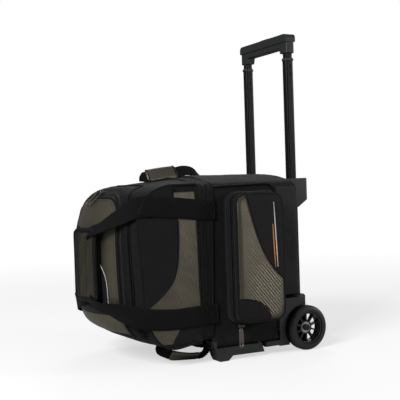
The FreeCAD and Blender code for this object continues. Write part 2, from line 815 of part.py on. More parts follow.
def build_grip():
    """Two moulded halves: the lower one sockets on the inner tubes, the upper one holds the button."""
    foot = size["grip_foot"]
    end = tube_x + 12.7
    boss = tube_x - 12.3
    lower = new_body("grip_lower")
    slab(lower, FRONT, [
        (-end, foot),
        (-boss, foot),
        (3 - boss, foot + 12),
        (boss - 3, foot + 12),
        (boss, foot),
        (end, foot),
        (end, grip_split),
        (-end, grip_split),
    ], tube_y - 10, tube_y + 10)
    round_edges(lower, runs_along(UP), as_size(5))
    section = tube_sections()["inner"]
    socket = tube_outline(section[0] + 0.2, section[1] + 0.2, section[2] + 0.1)
    for side in (1, -1):
        cut(lower, PLAN, socket, foot - 1, foot + 17.1, (tube_x * side, tube_y))
    bore(lower, PLAN, [(tube_x, tube_y), (-tube_x, tube_y)], as_size(2), foot + 16, grip_split + 1)
    hollow = rounded_outline(-tube_x - 5, tube_y - 4, tube_x + 5, tube_y + 4, as_size(3.8))
    cut(lower, PLAN, hollow, grip_split - 4, grip_split + 1)
    bore(lower, PLAN, [(as_size(0), tube_y)], as_size(3.8), grip_split - 8, grip_split - 3)
    bore(lower, PLAN, grip_screw_places(), as_size(1.7), foot + 11, grip_split + 1)
    bore(lower, PLAN, grip_screw_places(), as_size(3.2), foot + 11, foot + 15)
    upper = new_body("grip_upper")
    top = size["grip_top"]
    slab(upper, FRONT, [
        (-end, grip_split + 0.2),
        (end, grip_split + 0.2),
        (end, top - 8, as_size(8) * CORNER_RISE),
        (end - 8, top),
        (8 - end, top, as_size(8) * CORNER_RISE),
        (-end, top - 8),
    ], tube_y - 12, tube_y + 12)
    cut(upper, PLAN, hollow, grip_split, grip_split + 8)
    reach = size["button_length"] / 2 + 0.2
    cut(upper, PLAN, rounded_outline(-reach, tube_y - 6.2, reach, tube_y + 6.2, as_size(6.1)),
        grip_split, top + 1)
    bore(upper, PLAN, grip_screw_places(), as_size(1.5), grip_split, grip_split + 7)


def grip_screw_places():
    return [(as_size(side * 50), tube_y + 7) for side in (1, -1)]


def screw(name, shank, head, place, axis, low, seat, tip):
    """A round-headed screw: head from low to seat, shank from seat to tip, along an axis."""
    parts = [
        cylinder(name + "_head", head, low, seat, place, axis),
        cylinder(name + "_shank", shank, as_size(seat) - 0.5, tip, place, axis),
    ]
    return joined("MultiFuse", name, parts, keep=False)


def build_screws():
    foot = size["grip_foot"]
    small = [screw(f"grip_screw_{n}", as_size(1.4), as_size(3), (x, y, 0), UP, foot + 12.4, foot + 14.9,
                   grip_split + 6) for n, (x, y) in enumerate(grip_screw_places())]
    joined("Compound", "grip_screws", small)
    seat = size["screw_seat"]
    under = [screw(f"floor_screw_{n}", size["screw_radius"], as_size(4), (x, y, 0), UP, seat - 2.6,
                   seat - 0.1, seat + 17.4) for n, (x, y) in enumerate(floor_screw_places())]
    joined("Compound", "base_screws", under)
    head = body_back - wall - 4 - gap
    back = [screw(f"back_screw_{n}", size["screw_radius"], as_size(4), (x, 0, z), ALONG, head - 2.6,
                  head - 0.1, body_back + 7) for n, (x, z) in enumerate(back_screw_places())]
    joined("Compound", "frame_screws", back)


# Moulded plastics of the frame.

def cut_tube_holes(body, low, high, room):
    """Two openings for the outer tubes, with room all round."""
    outer = tube_sections()["outer"]
    outline = tube_outline(outer[0] + room * 2, outer[1] + room * 2, outer[2] + room)
    for side in (1, -1):
        cut(body, PLAN, outline, low, high, (tube_x * side, tube_y))


def build_handle_housing():
    """The hollow moulding at the top of the back that the handle rises through."""
    wide = size["housing_half"]
    foot = size["housing_foot"]
    top = size["housing_top"]
    thick = size["plastic"]
    front = body_back + gap
    rear = axle_y + 42
    body = new_body("handle_housing")
    slab(body, SIDE, [(front, foot), (rear - 25, foot + 2), (rear, foot + 19), (rear, top), (front, top)],
         -wide, wide)
    round_edges(body, runs_along(UP), as_size(6))
    cut(body, SIDE, [
        (front + thick, foot + thick),
        (rear - 26, foot + 2 + thick),
        (rear - thick, foot + 20 + thick),
        (rear - thick, top - thick),
        (front + thick, top - thick),
    ], thick - wide, wide - thick)
    cut_tube_holes(body, foot - 1, size["outer_tube_top"] + 0.1, as_size(0.1))
    middle = tube_sections()["in_outer"]
    for side in (1, -1):
        cut(body, PLAN, tube_outline(*middle), top - thick - 1, top + 1, (tube_x * side, tube_y))
    bore(body, FRONT, back_screw_places()[:2], screw_hole, front - 1, front + thick + 1)


def build_tube_bracket():
    """The moulding that holds the lower ends of the outer tubes."""
    foot = size["bracket_foot"]
    top = size["bracket_top"]
    front = body_back + gap
    body = new_body("tube_bracket")
    slab(body, SIDE, box_outline(front, foot, tube_y + 13.4, top), -size["bracket_half"], size["bracket_half"])
    round_edges(body, runs_along(UP), as_size(3))
    cut(body, SIDE, box_outline(front + size["plastic"], foot - 1, tube_y + 10, top - size["plastic"]),
        as_size(-62), as_size(62))
    cut_tube_holes(body, size["outer_tube_foot"] - 0.1, top + 1, as_size(0.1))
    bore(body, FRONT, back_screw_places()[2:], screw_hole, front - 1, front + size["plastic"] + 1)


def build_wheel_housings():
    """Each carries an axle bolt, arches over the front of its wheel and meets the tube bracket."""
    top = size["wheel_box_top"]
    outer = half
    body = new_body("right_wheel_housing")
    slab(body, SIDE, [
        (box_front, as_size(14)),
        (axle_y + 12, as_size(14)),
        (axle_y + 12, top),
        (box_front, top),
    ], box_inner, outer)
    arch = axle_height + 4
    bore(body, SIDE, [(axle_y, axle_height)], arch, box_face, outer + 1)
    cut(body, SIDE, box_outline(axle_y, as_size(0), axle_y + 20, top + 1), box_face, outer + 1)
    slab(body, SIDE, box_outline(box_front - 33, size["screw_seat"], box_front + 1, floor - gap),
         box_inner, outer)
    slab(body, SIDE, box_outline(axle_y - 1, size["bracket_foot"], axle_y + 12, size["bracket_top"]),
         size["bracket_half"] + gap, box_inner + 1)
    bore(body, SIDE, [(axle_y, axle_height)], size["axle_radius"] + play * 2, box_inner - 1, box_face + 1)
    flange = [place for place in floor_screw_places()[4:] if place[0].value > 0]
    bore(body, PLAN, flange, screw_hole, size["screw_seat"] - 1, floor)
    mirrored(body, "left_wheel_housing")


def build_feet():
    """A moulded foot under each front corner, with a web that runs back below the floor."""
    body = new_body("right_front_foot")
    under = floor - gap
    slab(body, SIDE, [
        (body_front - 9, as_size(40)),
        (body_front + 1, as_size(10)),
        (body_front + 6, as_size(0)),
        (body_front + 25, as_size(0)),
        (body_front + 35, as_size(9)),
        (body_front + 107, as_size(8)),
        (body_front + 101, under),
        (body_front - gap, under),
        (body_front - gap, as_size(40)),
    ], half - 30, half)
    places = [place for place in floor_screw_places()[:4] if place[0].value > 0]
    bore(body, PLAN, places, screw_hole, as_size(-1), under + 1)
    bore(body, PLAN, places, as_size(4.3), as_size(-1), size["screw_seat"])
    mirrored(body, "left_front_foot")


# Wheels.

def build_right_wheel():
    centre = [(axle_y, axle_height)]
    tyre = new_body("right_tyre")
    disc(tyre, SIDE, centre, axle_height, wheel_inner, wheel_outer)
    round_edges(tyre, has_radius(axle_height), as_size(7))
    bore(tyre, SIDE, centre, size["rim_radius"] + 0.1, wheel_inner - 1, wheel_outer + 1)
    rim = new_body("right_rim")
    disc(rim, SIDE, centre, size["rim_radius"], wheel_inner + 2, wheel_outer - 2)
    bore(rim, SIDE, centre, size["rim_radius"] - 4.5, wheel_inner, wheel_outer)
    hub_outer = size["wheel_middle"]
    spoke_sketch, spoke = slab(rim, SIDE, box_outline(as_size(-1.7), as_size(12), as_size(1.7),
                               size["rim_radius"] - 3), hub_outer - 6, hub_outer + 2, centre[0])
    pattern = rim.newObject("PartDesign::PolarPattern", "rim_spokes")
    pattern.Originals = [spoke]
    pattern.Axis = (spoke_sketch, ["N_Axis"])
    pattern.Angle = 360
    pattern.Occurrences = SPOKE_COUNT
    rim.Tip = pattern
    doc.recompute()
    disc(rim, SIDE, centre, size["bearing_radius"] + 3, hub_outer - 14, hub_outer)
    bore(rim, SIDE, centre, size["bearing_radius"] + play, hub_outer - 15, hub_outer + 3)
    races = []
    for name, low in (("outboard_bearing", hub_outer - 6.9), ("inboard_bearing", hub_outer - 14)):
        race = new_body(name, keep=False)
        disc(race, SIDE, centre, size["bearing_radius"], low, low + 6.9)
        bore(race, SIDE, centre, size["axle_radius"] + play, low - 1, low + 8)
        races.append(race)
    bearings = joined("Compound", "right_bearings", races)
    return tyre, rim, bearings


def build_wheels():
    tyre, rim, bearings = build_right_wheel()
    mirrored(tyre, "left_tyre")
    mirrored(rim, "left_rim")
    mirrored(bearings, "left_bearings")


def pair_across(name, piece):
    """One node that holds a piece and its mirror image."""
    joined("Compound", name, [piece, mirrored(piece, name + "_left", keep=False)])


def washer(name, outer, inner, low, high):
    body = new_body(name, keep=False)
    disc(body, SIDE, [(axle_y, axle_height)], outer, low, high)
    bore(body, SIDE, [(axle_y, axle_height)], inner, as_size(low) - 1, as_size(high) + 1)
    return body


def build_axles():
    """Bolt from outboard through both bearings, a washer, and the wheel housing, into its nut."""
    hub_outer = size["wheel_middle"]
    place = (0, axle_y, axle_height)
    bolt = joined("MultiFuse", "axle_bolt", [
        cylinder("axle_head", as_size(6.4), hub_outer + 0.2, hub_outer + 5, place, ACROSS),
        cylinder("axle_shank", size["axle_radius"], box_inner - 8, hub_outer + 1, place, ACROSS),
    ], keep=False)
    pair_across("axle_bolts", bolt)
    hole = size["axle_radius"] + play
    pair_across("axle_nuts", washer("axle_nut", as_size(6.4), hole, box_inner - 6.8, box_inner - 0.1))
    pair_across("axle_washers", washer("axle_washer", as_size(7), hole, box_face + 0.2, hub_outer - 14.1))


def check_and_export():
    """Stop if anything failed, then write one file for each node."""
    doc.recompute()
    for thing in doc.Objects:
        if {"Invalid", "Error"} & set(thing.State):
            raise RuntimeError(f"{thing.Label} did not build: {thing.State}")
        if thing.TypeId == "PartDesign::Pocket":
            if thing.Shape.Volume > thing.BaseFeature.Shape.Volume - 0.01:
                raise RuntimeError(f"{thing.Label} removes nothing")
    os.makedirs("parts", exist_ok=True)
    for node in nodes:
        if node.Shape.isNull() or not node.Shape.isValid():
            raise RuntimeError(f"{node.Label} has no valid shape")
        node.Shape.exportStep(f"parts/{node.Label}.step")


build_body_shell()
build_boards()
build_ball_cup()
build_gusset()
build_front_section()
build_pockets()
build_door_pulls()
build_right_strap()
build_wraps()
build_top_handle()
build_bottom_handle()
build_tubes()
build_latch()
build_button_spring()
build_grip()
build_screws()
build_handle_housing()
build_tube_bracket()
build_wheel_housings()
build_feet()
build_wheels()
build_axles()
check_and_export()
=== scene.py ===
import math

import bmesh
import bpy
import numpy as np
from mathutils import Euler, Matrix, Vector, noise
from mathutils.bvhtree import BVHTree


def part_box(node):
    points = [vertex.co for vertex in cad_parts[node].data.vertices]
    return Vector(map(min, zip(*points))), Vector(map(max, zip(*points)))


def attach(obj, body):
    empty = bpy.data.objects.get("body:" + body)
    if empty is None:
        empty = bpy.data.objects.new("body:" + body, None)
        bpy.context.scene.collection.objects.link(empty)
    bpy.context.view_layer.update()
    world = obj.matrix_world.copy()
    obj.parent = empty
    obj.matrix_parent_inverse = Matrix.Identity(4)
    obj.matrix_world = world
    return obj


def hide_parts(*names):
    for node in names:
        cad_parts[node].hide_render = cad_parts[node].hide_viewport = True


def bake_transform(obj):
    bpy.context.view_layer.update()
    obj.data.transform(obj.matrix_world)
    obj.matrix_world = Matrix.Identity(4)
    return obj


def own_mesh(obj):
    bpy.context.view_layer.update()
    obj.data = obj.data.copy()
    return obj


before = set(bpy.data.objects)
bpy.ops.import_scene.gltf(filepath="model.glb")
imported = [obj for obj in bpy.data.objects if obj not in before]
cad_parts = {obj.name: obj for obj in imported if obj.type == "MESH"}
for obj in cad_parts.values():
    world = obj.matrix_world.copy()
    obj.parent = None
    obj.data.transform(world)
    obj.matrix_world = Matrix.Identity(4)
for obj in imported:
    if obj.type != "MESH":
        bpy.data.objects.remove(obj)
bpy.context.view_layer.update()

# A wheeled bag for one bowling ball. Shapes are worked out in millimetres in the row frame:
# +X is the side of the right pocket, -Y the front of the bag, +Z up.

MM = 0.001
TAU = 2 * math.pi
SIDES = (("right", 1), ("left", -1))
ACROSS = np.array([1.0, 0.0, 0.0])
ALONG = np.array([0.0, 1.0, 0.0])
UP = np.array([0.0, 0.0, 1.0])


def box(node):
    """Lowest and highest corner of a CAD node, in millimetres."""
    low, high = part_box(node)
    return np.array(low) / MM, np.array(high) / MM


# ---------------------------------------------------------------- arithmetic on curves and nets

def unit(vectors):
    """Vectors scaled to length one."""
    length = np.linalg.norm(vectors, axis=-1, keepdims=True)
    return vectors / np.maximum(length, 1e-9)


def smooth(share):
    share = np.clip(share, 0, 1)
    return share * share * (3 - 2 * share)


def spline(points, steps=12):
    """A smooth curve through the points, steps to each stretch."""
    points = np.array(points, float)
    padded = np.vstack([2 * points[0] - points[1], points, 2 * points[-1] - points[-2]])
    share = np.linspace(0, 1, steps, endpoint=False)[:, None]
    curve = []
    for a, b, c, d in zip(padded, padded[1:], padded[2:], padded[3:]):
        curve.append(0.5 * (2 * b + (c - a) * share + (2 * a - 5 * b + 4 * c - d) * share ** 2
                            + (3 * b - a - 3 * c + d) * share ** 3))
    return np.vstack(curve + [points[-1:]])


def evenly(path, step, closed=False, *others):
    """The path, and anything that runs along it, at about equal steps."""
    runs = [np.array(run, float) for run in (path,) + others]
    if closed:
        runs = [np.vstack([run, run[:1]]) for run in runs]
    distance = np.r_[0, np.cumsum(np.linalg.norm(np.diff(runs[0], axis=0), axis=1))]
    count = max(2, round(distance[-1] / step))
    stations = np.linspace(0, distance[-1], count + 1)
    if closed:
        stations = stations[:-1]
    even = [np.stack([np.interp(stations, distance, run[:, k]) for k in range(run.shape[1])], 1)
            for run in runs]
    return even if others else even[0]


def directions(path, closed=False):
    """Unit tangents of a path."""
    if closed:
        return unit(np.roll(path, -1, 0) - np.roll(path, 1, 0))
    return unit(np.gradient(path, axis=0))


def net_normals(net, flip=False, closed=False):
    """Unit normals of a net of points; closed when its columns join up."""
    along = np.gradient(net, axis=0)
    across = (np.roll(net, -1, 1) - np.roll(net, 1, 1)) if closed else np.gradient(net, axis=1)
    normals = unit(np.cross(along, across))
    return -normals if flip else normals


def ripple(net, normals, amount, size, seed=0.0):
    """The net with the soft unevenness of cloth."""
    flat = net.reshape(-1, 3)
    shift = Vector((seed, seed * 0.7, seed * 1.3))
    rise = [noise.fractal(Vector(p) / size + shift, 1.0, 2.0, 3) for p in flat]
    return net + normals * (amount * np.array(rise)).reshape(net.shape[:-1] + (1,))


# ---------------------------------------------------------------- meshes

def new_piece(name, points, faces, *materials):
    """A smooth closed mesh from points in millimetres."""
    mesh = bpy.data.meshes.new(name)
    mesh.from_pydata((np.asarray(points, float) * MM).tolist(), [], faces)
    shape = bmesh.new()
    shape.from_mesh(mesh)
    bmesh.ops.recalc_face_normals(shape, faces=shape.faces)
    shape.to_mesh(mesh)
    shape.free()
    mesh.shade_smooth()
    piece = bpy.data.objects.new(name, mesh)
    bpy.context.scene.collection.objects.link(piece)
    for material in materials:
        mesh.materials.append(material)
    return piece


def rounded_box(low, high, corner, count=7):
    """A box between two corners of a plane, its own corners turned in count points each."""
    points = []
    for u, v, turn in ((high[0] - corner, low[1] + corner, -90), (high[0] - corner, high[1] - corner, 0),
                       (low[0] + corner, high[1] - corner, 90), (low[0] + corner, low[1] + corner, 180)):
        for angle in np.radians(np.linspace(turn, turn + 90, count)):
            points.append((u + corner * math.cos(angle), v + corner * math.sin(angle)))
    return points


def grid(across, levels):
    """Every pairing of a place across with a level, as a net of pairs."""
    return np.stack(np.broadcast_arrays(across[None], levels[:, None]), 2)


def prism(name, first, last, material):
    """A closed solid between two matching outlines."""
    count = len(first)
    faces = [tuple(range(count))[::-1], tuple(range(count, 2 * count))]
    faces += [(k, (k + 1) % count, count + (k + 1) % count, count + k) for k in range(count)]
    return new_piece(name, list(first) + list(last), faces, material)


def net_faces(rows, columns, start=0, close_rows=False, close_columns=False):
    """The four-sided faces of a net whose points are counted from start."""
    faces = []
    for i in range(rows if close_rows else rows - 1):
        for j in range(columns if close_columns else columns - 1):
            below = (i + 1) % rows
            beside = (j + 1) % columns
            faces.append((start + i * columns + j, start + i * columns + beside,
                          start + below * columns + beside, start + below * columns + j))
    return faces


def sheet(name, net, normals, thickness, material, closed=False):
    """A sheet of cloth: the net is its outer face, and it is thickness deep behind it."""
    rows, columns = net.shape[:2]
    count = rows * columns
    points = np.vstack([net.reshape(-1, 3), (net - normals * thickness).reshape(-1, 3)])
    front = net_faces(rows, columns, 0, False, closed)
    back = [face[::-1] for face in net_faces(rows, columns, count, False, closed)]
    rims = [[j for j in range(columns)], [(rows - 1) * columns + j for j in range(columns)]]
    ring = [rims[0] + rims[0][:1], rims[1] + rims[1][:1]] if closed else rims
    if not closed:
        ring += [[i * columns for i in range(rows)], [i * columns + columns - 1 for i in range(rows)]]
    edge = [(a, b, b + count, a + count) for line in ring for a, b in zip(line, line[1:])]
    return new_piece(name, points, front + back + edge, material)


def sweep(name, path, outs, section, material, closed=False, swell=None):
    """A section of (across, out) points carried along a path; swell scales it at each station."""
    path = np.asarray(path, float)
    tangents = directions(path, closed)
    sides = unit(np.cross(tangents, outs))
    outs = np.cross(sides, tangents)
    section = np.array(section, float)
    scale = np.ones((len(path), 2)) if swell is None else np.asarray(swell, float)
    points = (path[:, None] + sides[:, None] * (section[None, :, :1] * scale[:, None, :1])
              + outs[:, None] * (section[None, :, 1:] * scale[:, None, 1:]))
    count = len(section)
    faces = net_faces(len(path), count, 0, closed, True)
    if not closed:
        faces += [tuple(range(count)), tuple(range((len(path) - 1) * count, len(path) * count))[::-1]]
    return new_piece(name, points.reshape(-1, 3), faces, material)


def round_section(radius, count=10):
    return [(radius * math.cos(TAU * k / count), radius * math.sin(TAU * k / count)) for k in range(count)]


def band_section(width, thickness, crown=0.0, count=6):
    """A flat band with rounded edges, whose top may be crowned."""
    reach = width / 2 - thickness / 2
    top = [(x, thickness / 2 + crown * (1 - (x / reach) ** 2)) for x in np.linspace(reach, -reach, count)]
    left = [(-reach - thickness / 2, 0.0)]
    low = [(x, -thickness / 2) for x in np.linspace(-reach, reach, count)]
    return [(width / 2, 0.0)] + top + left + low


def beads(name, path, outs, pitch, size, material, closed=False, crosswise=False, stagger=0.0):
    """Small rounded bars at equal steps along a path: stitches along it, or zip teeth across it.
    size is half the length, half the width and half the height of a bar."""
    path, outs = evenly(path, pitch, closed, outs)
    tangents = directions(path, closed)
    sides = unit(np.cross(tangents, outs))
    ups = np.cross(sides, tangents)
    long_way, wide_way = (sides, tangents) if crosswise else (tangents, sides)
    rings = [(-1.0, 0.45), (-0.7, 1.0), (0.7, 1.0), (1.0, 0.45)]
    around = 6
    points, faces = [], []
    for k in range(len(path)):
        start = len(points)
        middle = path[k] + sides[k] * (stagger if k % 2 else -stagger)
        for reach, girth in rings:
            for turn in range(around):
                angle = TAU * turn / around
                points.append(middle + long_way[k] * reach * size[0]
                              + wide_way[k] * math.cos(angle) * girth * size[1]
                              + ups[k] * math.sin(angle) * girth * size[2])
        faces += net_faces(len(rings), around, start, False, True)
        faces += [tuple(range(start, start + around))[::-1],
                  tuple(range(start + 3 * around, start + 4 * around))]
    return new_piece(name, points, faces, material)


def settle(piece):
    """Apply every modifier of a piece."""
    bpy.context.view_layer.update()
    graph = bpy.context.evaluated_depsgraph_get()
    piece.data = bpy.data.meshes.new_from_object(piece.evaluated_get(graph))
    piece.modifiers.clear()
    return piece


def subtract(piece, cutter):
    """Cut a hole in a closed piece and drop the cutter."""
    modifier = piece.modifiers.new("cut", "BOOLEAN")
    modifier.operation = "DIFFERENCE"
    modifier.solver = "EXACT"
    modifier.object = cutter
    settle(piece)
    bpy.data.objects.remove(cutter)
    return piece


def merge(name, pieces):
    """Several pieces as one object."""
    shape = bmesh.new()
    materials = []
    for piece in pieces:
        before = len(shape.faces)
        shape.from_mesh(piece.data)
        shape.faces.ensure_lookup_table()
        shift = []
        for material in piece.data.materials:
            if material not in materials:
                materials.append(material)
            shift.append(materials.index(material))
        for face in shape.faces[before:]:
            face.material_index = shift[face.material_index] if shift else 0
    mesh = bpy.data.meshes.new(name)
    shape.to_mesh(mesh)
    shape.free()
    for material in materials:
        mesh.materials.append(material)
    for piece in pieces:
        bpy.data.objects.remove(piece)
    whole = bpy.data.objects.new(name, mesh)
    bpy.context.scene.collection.objects.link(whole)
    return whole


def reflected(piece, name):
    """The same piece on the other side of the bag."""
    mesh = piece.data.copy()
    mesh.transform(Matrix.Scale(-1, 4, Vector((1, 0, 0))))
    mesh.flip_normals()
    copy = bpy.data.objects.new(name, mesh)
    bpy.context.scene.collection.objects.link(copy)
    return copy


class Skin:
    """The surface of a piece, to lay other things on."""

    def __init__(self, piece):
        bpy.context.view_layer.update()
        self.tree = BVHTree.FromObject(piece, bpy.context.evaluated_depsgraph_get())

    def lay(self, net, way, lift):
        """Each point of a net moved along way onto the surface, then raised by lift. Also the normals."""
        flat = np.asarray(net, float).reshape(-1, 3)
        way = np.asarray(way, float)
        laid, normals = [], []
        for point in flat:
            start = Vector(point - way * 60) * MM
            place, normal, _, _ = self.tree.ray_cast(start, Vector(way))
            if place is None:
                place, normal, _, _ = self.tree.find_nearest(Vector(point) * MM)
            normal = np.array(normal)
            if normal @ way > 0:
                normal = -normal
            laid.append(np.array(place) / MM + normal * lift)
            normals.append(normal)
        shape = np.asarray(net).shape
        return np.array(laid).reshape(shape), np.array(normals).reshape(shape)


def pad(name, outline, low, high, plane, out, material, voxel=4.5, cap=3.0, pressure=4.0):
    """A stuffed pad: a closed block on an outline, blown up as cloth and held to cap. plane places a
    point of the outline at a depth, and out is the way through the pad's thickness."""
    piece = prism(name, [plane(u, v, low) for u, v in outline], [plane(u, v, high) for u, v in outline],
                  material)
    remesh = piece.modifiers.new("even", "REMESH")
    remesh.mode = "VOXEL"
    remesh.voxel_size = voxel * MM
    rounding = piece.modifiers.new("round", "SMOOTH")
    rounding.iterations = 4
    settle(piece)
    inflate(piece, pressure, cap, out)
    finer = piece.modifiers.new("finer", "SUBSURF")
    finer.levels = 1
    settle(piece)
    piece.data.shade_smooth()
    return piece


def inflate(piece, pressure, cap, out):
    """Blow a closed mesh up as cloth. Points swell only outwards along out, and no further than cap."""
    rest = np.array([vertex.co for vertex in piece.data.vertices])
    facing = np.array([vertex.normal for vertex in piece.data.vertices])
    cloth = piece.modifiers.new("cloth", "CLOTH")
    cloth.settings.use_pressure = True
    cloth.settings.uniform_pressure_force = pressure
    cloth.settings.quality = 5
    cloth.settings.effector_weights.gravity = 0
    cloth.point_cache.frame_start = 1
    cloth.point_cache.frame_end = 20
    scene = bpy.context.scene
    for step in range(1, 21):
        scene.frame_set(step)
    settle(piece)
    scene.frame_set(1)
    moved = np.array([vertex.co for vertex in piece.data.vertices]) - rest
    swell = np.clip(np.sum(moved * facing, axis=1), 0, cap * MM) * np.abs(facing @ out)
    held = rest + facing * swell[:, None]
    piece.data.vertices.foreach_set("co", held.astype(np.float32).ravel())
    piece.data.update()


# ---------------------------------------------------------------- materials

class Recipe:
    """A material built one node at a time, in the row frame's metres."""

    def __init__(self, name, colour, roughness, metal=0.0, sheen=0.0, gloss=0.5):
        self.material = bpy.data.materials.new(name)
        self.material.use_nodes = True
        self.tree = self.material.node_tree
        self.shader = self.tree.nodes["Principled BSDF"]
        self.colour = colour
        self.shader.inputs["Base Color"].default_value = (*colour, 1)
        self.shader.inputs["Roughness"].default_value = roughness
        self.shader.inputs["Metallic"].default_value = metal
        self.shader.inputs["Sheen Weight"].default_value = sheen
        self.shader.inputs["Specular IOR Level"].default_value = gloss
        self.place = self.node("TexCoord").outputs["Object"]
        self.heights = []

    def node(self, kind, *inputs, **settings):
        made = self.tree.nodes.new("ShaderNode" + kind)
        for name, value in settings.items():
            setattr(made, name, value)
        for socket, value in zip(made.inputs, inputs):
            self.feed(socket, value)
        return made

    def feed(self, socket, value):
        if isinstance(value, bpy.types.NodeSocket):
            self.tree.links.new(value, socket)
        elif value is not None:
            socket.default_value = value

    def maths(self, operation, *inputs):
        return self.node("Math", *inputs, operation=operation).outputs[0]

    def stripes(self, way, pitch):
        """A sine that repeats every pitch millimetres along a direction."""
        along = self.node("VectorMath", self.place, tuple(unit(np.array(way, float))),
                          operation="DOT_PRODUCT").outputs["Value"]
        return self.maths("SINE", self.maths("MULTIPLY", along, TAU / (pitch * MM)))

    def mottle(self, size, detail=3.0, stretch=(1, 1, 1)):
        """Cloudy noise with spots about size millimetres across."""
        place = self.node("VectorMath", self.place, stretch, operation="MULTIPLY").outputs[0]
        cloud = self.node("TexNoise")
        self.feed(cloud.inputs["Vector"], place)
        cloud.inputs["Scale"].default_value = 1 / (size * MM)
        cloud.inputs["Detail"].default_value = detail
        return cloud.outputs[0]

    def weave(self, pitch):
        """A plain weave on any face: stripes along two axes cross wherever the third is constant."""
        x, y, z = (self.stripes(way, pitch) for way in (ACROSS, ALONG, UP))
        pairs = [self.maths("MULTIPLY", a, b) for a, b in ((x, y), (y, z), (z, x))]
        return self.maths("ADD", self.maths("ADD", pairs[0], pairs[1]), pairs[2])

    def tint(self, share, strength, colour=None):
        """Shift the base colour towards another by a pattern from 0 to 1."""
        base = self.shader.inputs["Base Color"]
        current = base.links[0].from_socket if base.links else (*self.colour, 1)
        mix = self.node("MixRGB", self.maths("MULTIPLY", share, strength), current,
                        (*(colour or [min(1, c * 2.2) for c in self.colour]), 1))
        self.feed(base, mix.outputs[0])

    def relief(self, height, depth):
        """Add a bump whose full height is depth millimetres."""
        self.heights.append(self.maths("MULTIPLY", height, depth))

    def roughen(self, share, low, high):
        span = self.node("MapRange", share, 0.0, 1.0, low, high)
        self.feed(self.shader.inputs["Roughness"], span.outputs[0])

    def edges(self, radius, strength, colour):
        """Soften hard edges and let them show wear."""
        soft = self.node("Bevel", radius * MM, samples=4).outputs[0]
        hard = self.node("NewGeometry").outputs["Normal"]
        same = self.node("VectorMath", soft, hard, operation="DOT_PRODUCT").outputs["Value"]
        worn = self.maths("MULTIPLY", self.maths("SUBTRACT", 1.0, same), self.mottle(6))
        self.tint(self.maths("MINIMUM", self.maths("MULTIPLY", worn, 6.0), 1.0), strength, colour)
        return soft

    def finish(self, base_normal=None):
        """Join the reliefs into one bump and return the material."""
        if self.heights:
            total = self.heights[0]
            for height in self.heights[1:]:
                total = self.maths("ADD", total, height)
            bump = self.node("Bump")
            bump.inputs["Strength"].default_value = 1.0
            bump.inputs["Distance"].default_value = MM
            self.feed(bump.inputs["Height"], total)
            self.feed(bump.inputs["Normal"], base_normal)
            self.feed(self.shader.inputs["Normal"], bump.outputs[0])
        return self.material


def cloth_material(name, colour, pitch, sheen=0.06, roughness=0.78, crease=0.5):
    """Woven cloth with yarns pitch millimetres apart and soft creases."""
    recipe = Recipe(name, colour, roughness, sheen=sheen, gloss=0.14)
    weave = recipe.weave(pitch)
    recipe.tint(weave, 0.35)
    recipe.tint(recipe.mottle(38), 0.3)
    recipe.relief(weave, 0.09)
    recipe.relief(recipe.mottle(24, 2.0), crease)
    recipe.relief(recipe.mottle(0.9, 2.0), 0.12)
    return recipe.finish()


def vinyl_material(name, colour, way, pitch, depth=0.1):
    """Embossed vinyl with a metallic lustre: fine diagonal ribs over a carbon-like twill, with a painted
    highlight that lightens the crest of each rib.
    """
    recipe = Recipe(name, colour, 0.38, metal=0.85)
    ribs = recipe.stripes(way, pitch)
    twill = recipe.maths("MULTIPLY", recipe.stripes((0, 1, 1), 1.9), recipe.stripes((0, 1, -1), 1.9))
    # painted highlight: the crest of each rib is lightened in the base colour, standing in for the glint the
    # lamps give the ribs
    recipe.tint(recipe.maths("MAXIMUM", ribs, 0.0), 0.4, [c * 1.9 for c in colour])
    recipe.tint(recipe.mottle(45), 0.35, [c * 0.55 for c in colour])
    recipe.roughen(recipe.mottle(20), 0.3, 0.46)
    recipe.relief(ribs, depth)
    recipe.relief(twill, 0.06)
    recipe.relief(recipe.mottle(30, 2.0), 0.6)
    return recipe.finish()


def webbing_material():
    """Heavy woven webbing, nearly black."""
    recipe = Recipe("webbing", (0.0032, 0.0032, 0.0032), 0.75, sheen=0.02, gloss=0.12)
    yarn = recipe.weave(1.4)
    recipe.tint(yarn, 0.5, (0.014, 0.014, 0.014))
    recipe.tint(recipe.mottle(14), 0.35)
    recipe.relief(yarn, 0.12)
    return recipe.finish()


def plastic_material(name, colour, roughness, grain=0.05):
    """Moulded plastic with a fine grain and worn edges."""
    recipe = Recipe(name, colour, roughness)
    soft = recipe.edges(0.9, 0.7, [c * 3 for c in colour])
    recipe.tint(recipe.mottle(50), 0.25)
    recipe.roughen(recipe.mottle(12), roughness - 0.07, roughness + 0.08)
    recipe.relief(recipe.mottle(0.8, 2.0), grain)
    recipe.relief(recipe.mottle(18, 1.0), 0.08)
    return recipe.finish(soft)


def metal_material(name, colour, roughness, stretch, size=0.6, streak=0.03):
    """Metal with brushing, drawn out along stretch, and worn edges."""
    recipe = Recipe(name, colour, roughness, metal=1.0)
    soft = recipe.edges(0.5, 0.6, [min(1, c * 1.8) for c in colour])
    brushed = recipe.mottle(size, 2.0, stretch)
    recipe.roughen(brushed, roughness - 0.08, roughness + 0.12)
    recipe.tint(recipe.mottle(25), 0.25, [c * 0.6 for c in colour])
    recipe.relief(brushed, streak)
    return recipe.finish(soft)


def grained_material(name, colour, roughness, size, depth, dark=0.5):
    """A plain material with grains about size millimetres across."""
    recipe = Recipe(name, colour, roughness)
    grain = recipe.mottle(size, 3.0)
    recipe.tint(grain, 0.6, [c * dark for c in colour])
    recipe.relief(grain, depth)
    return recipe.finish()


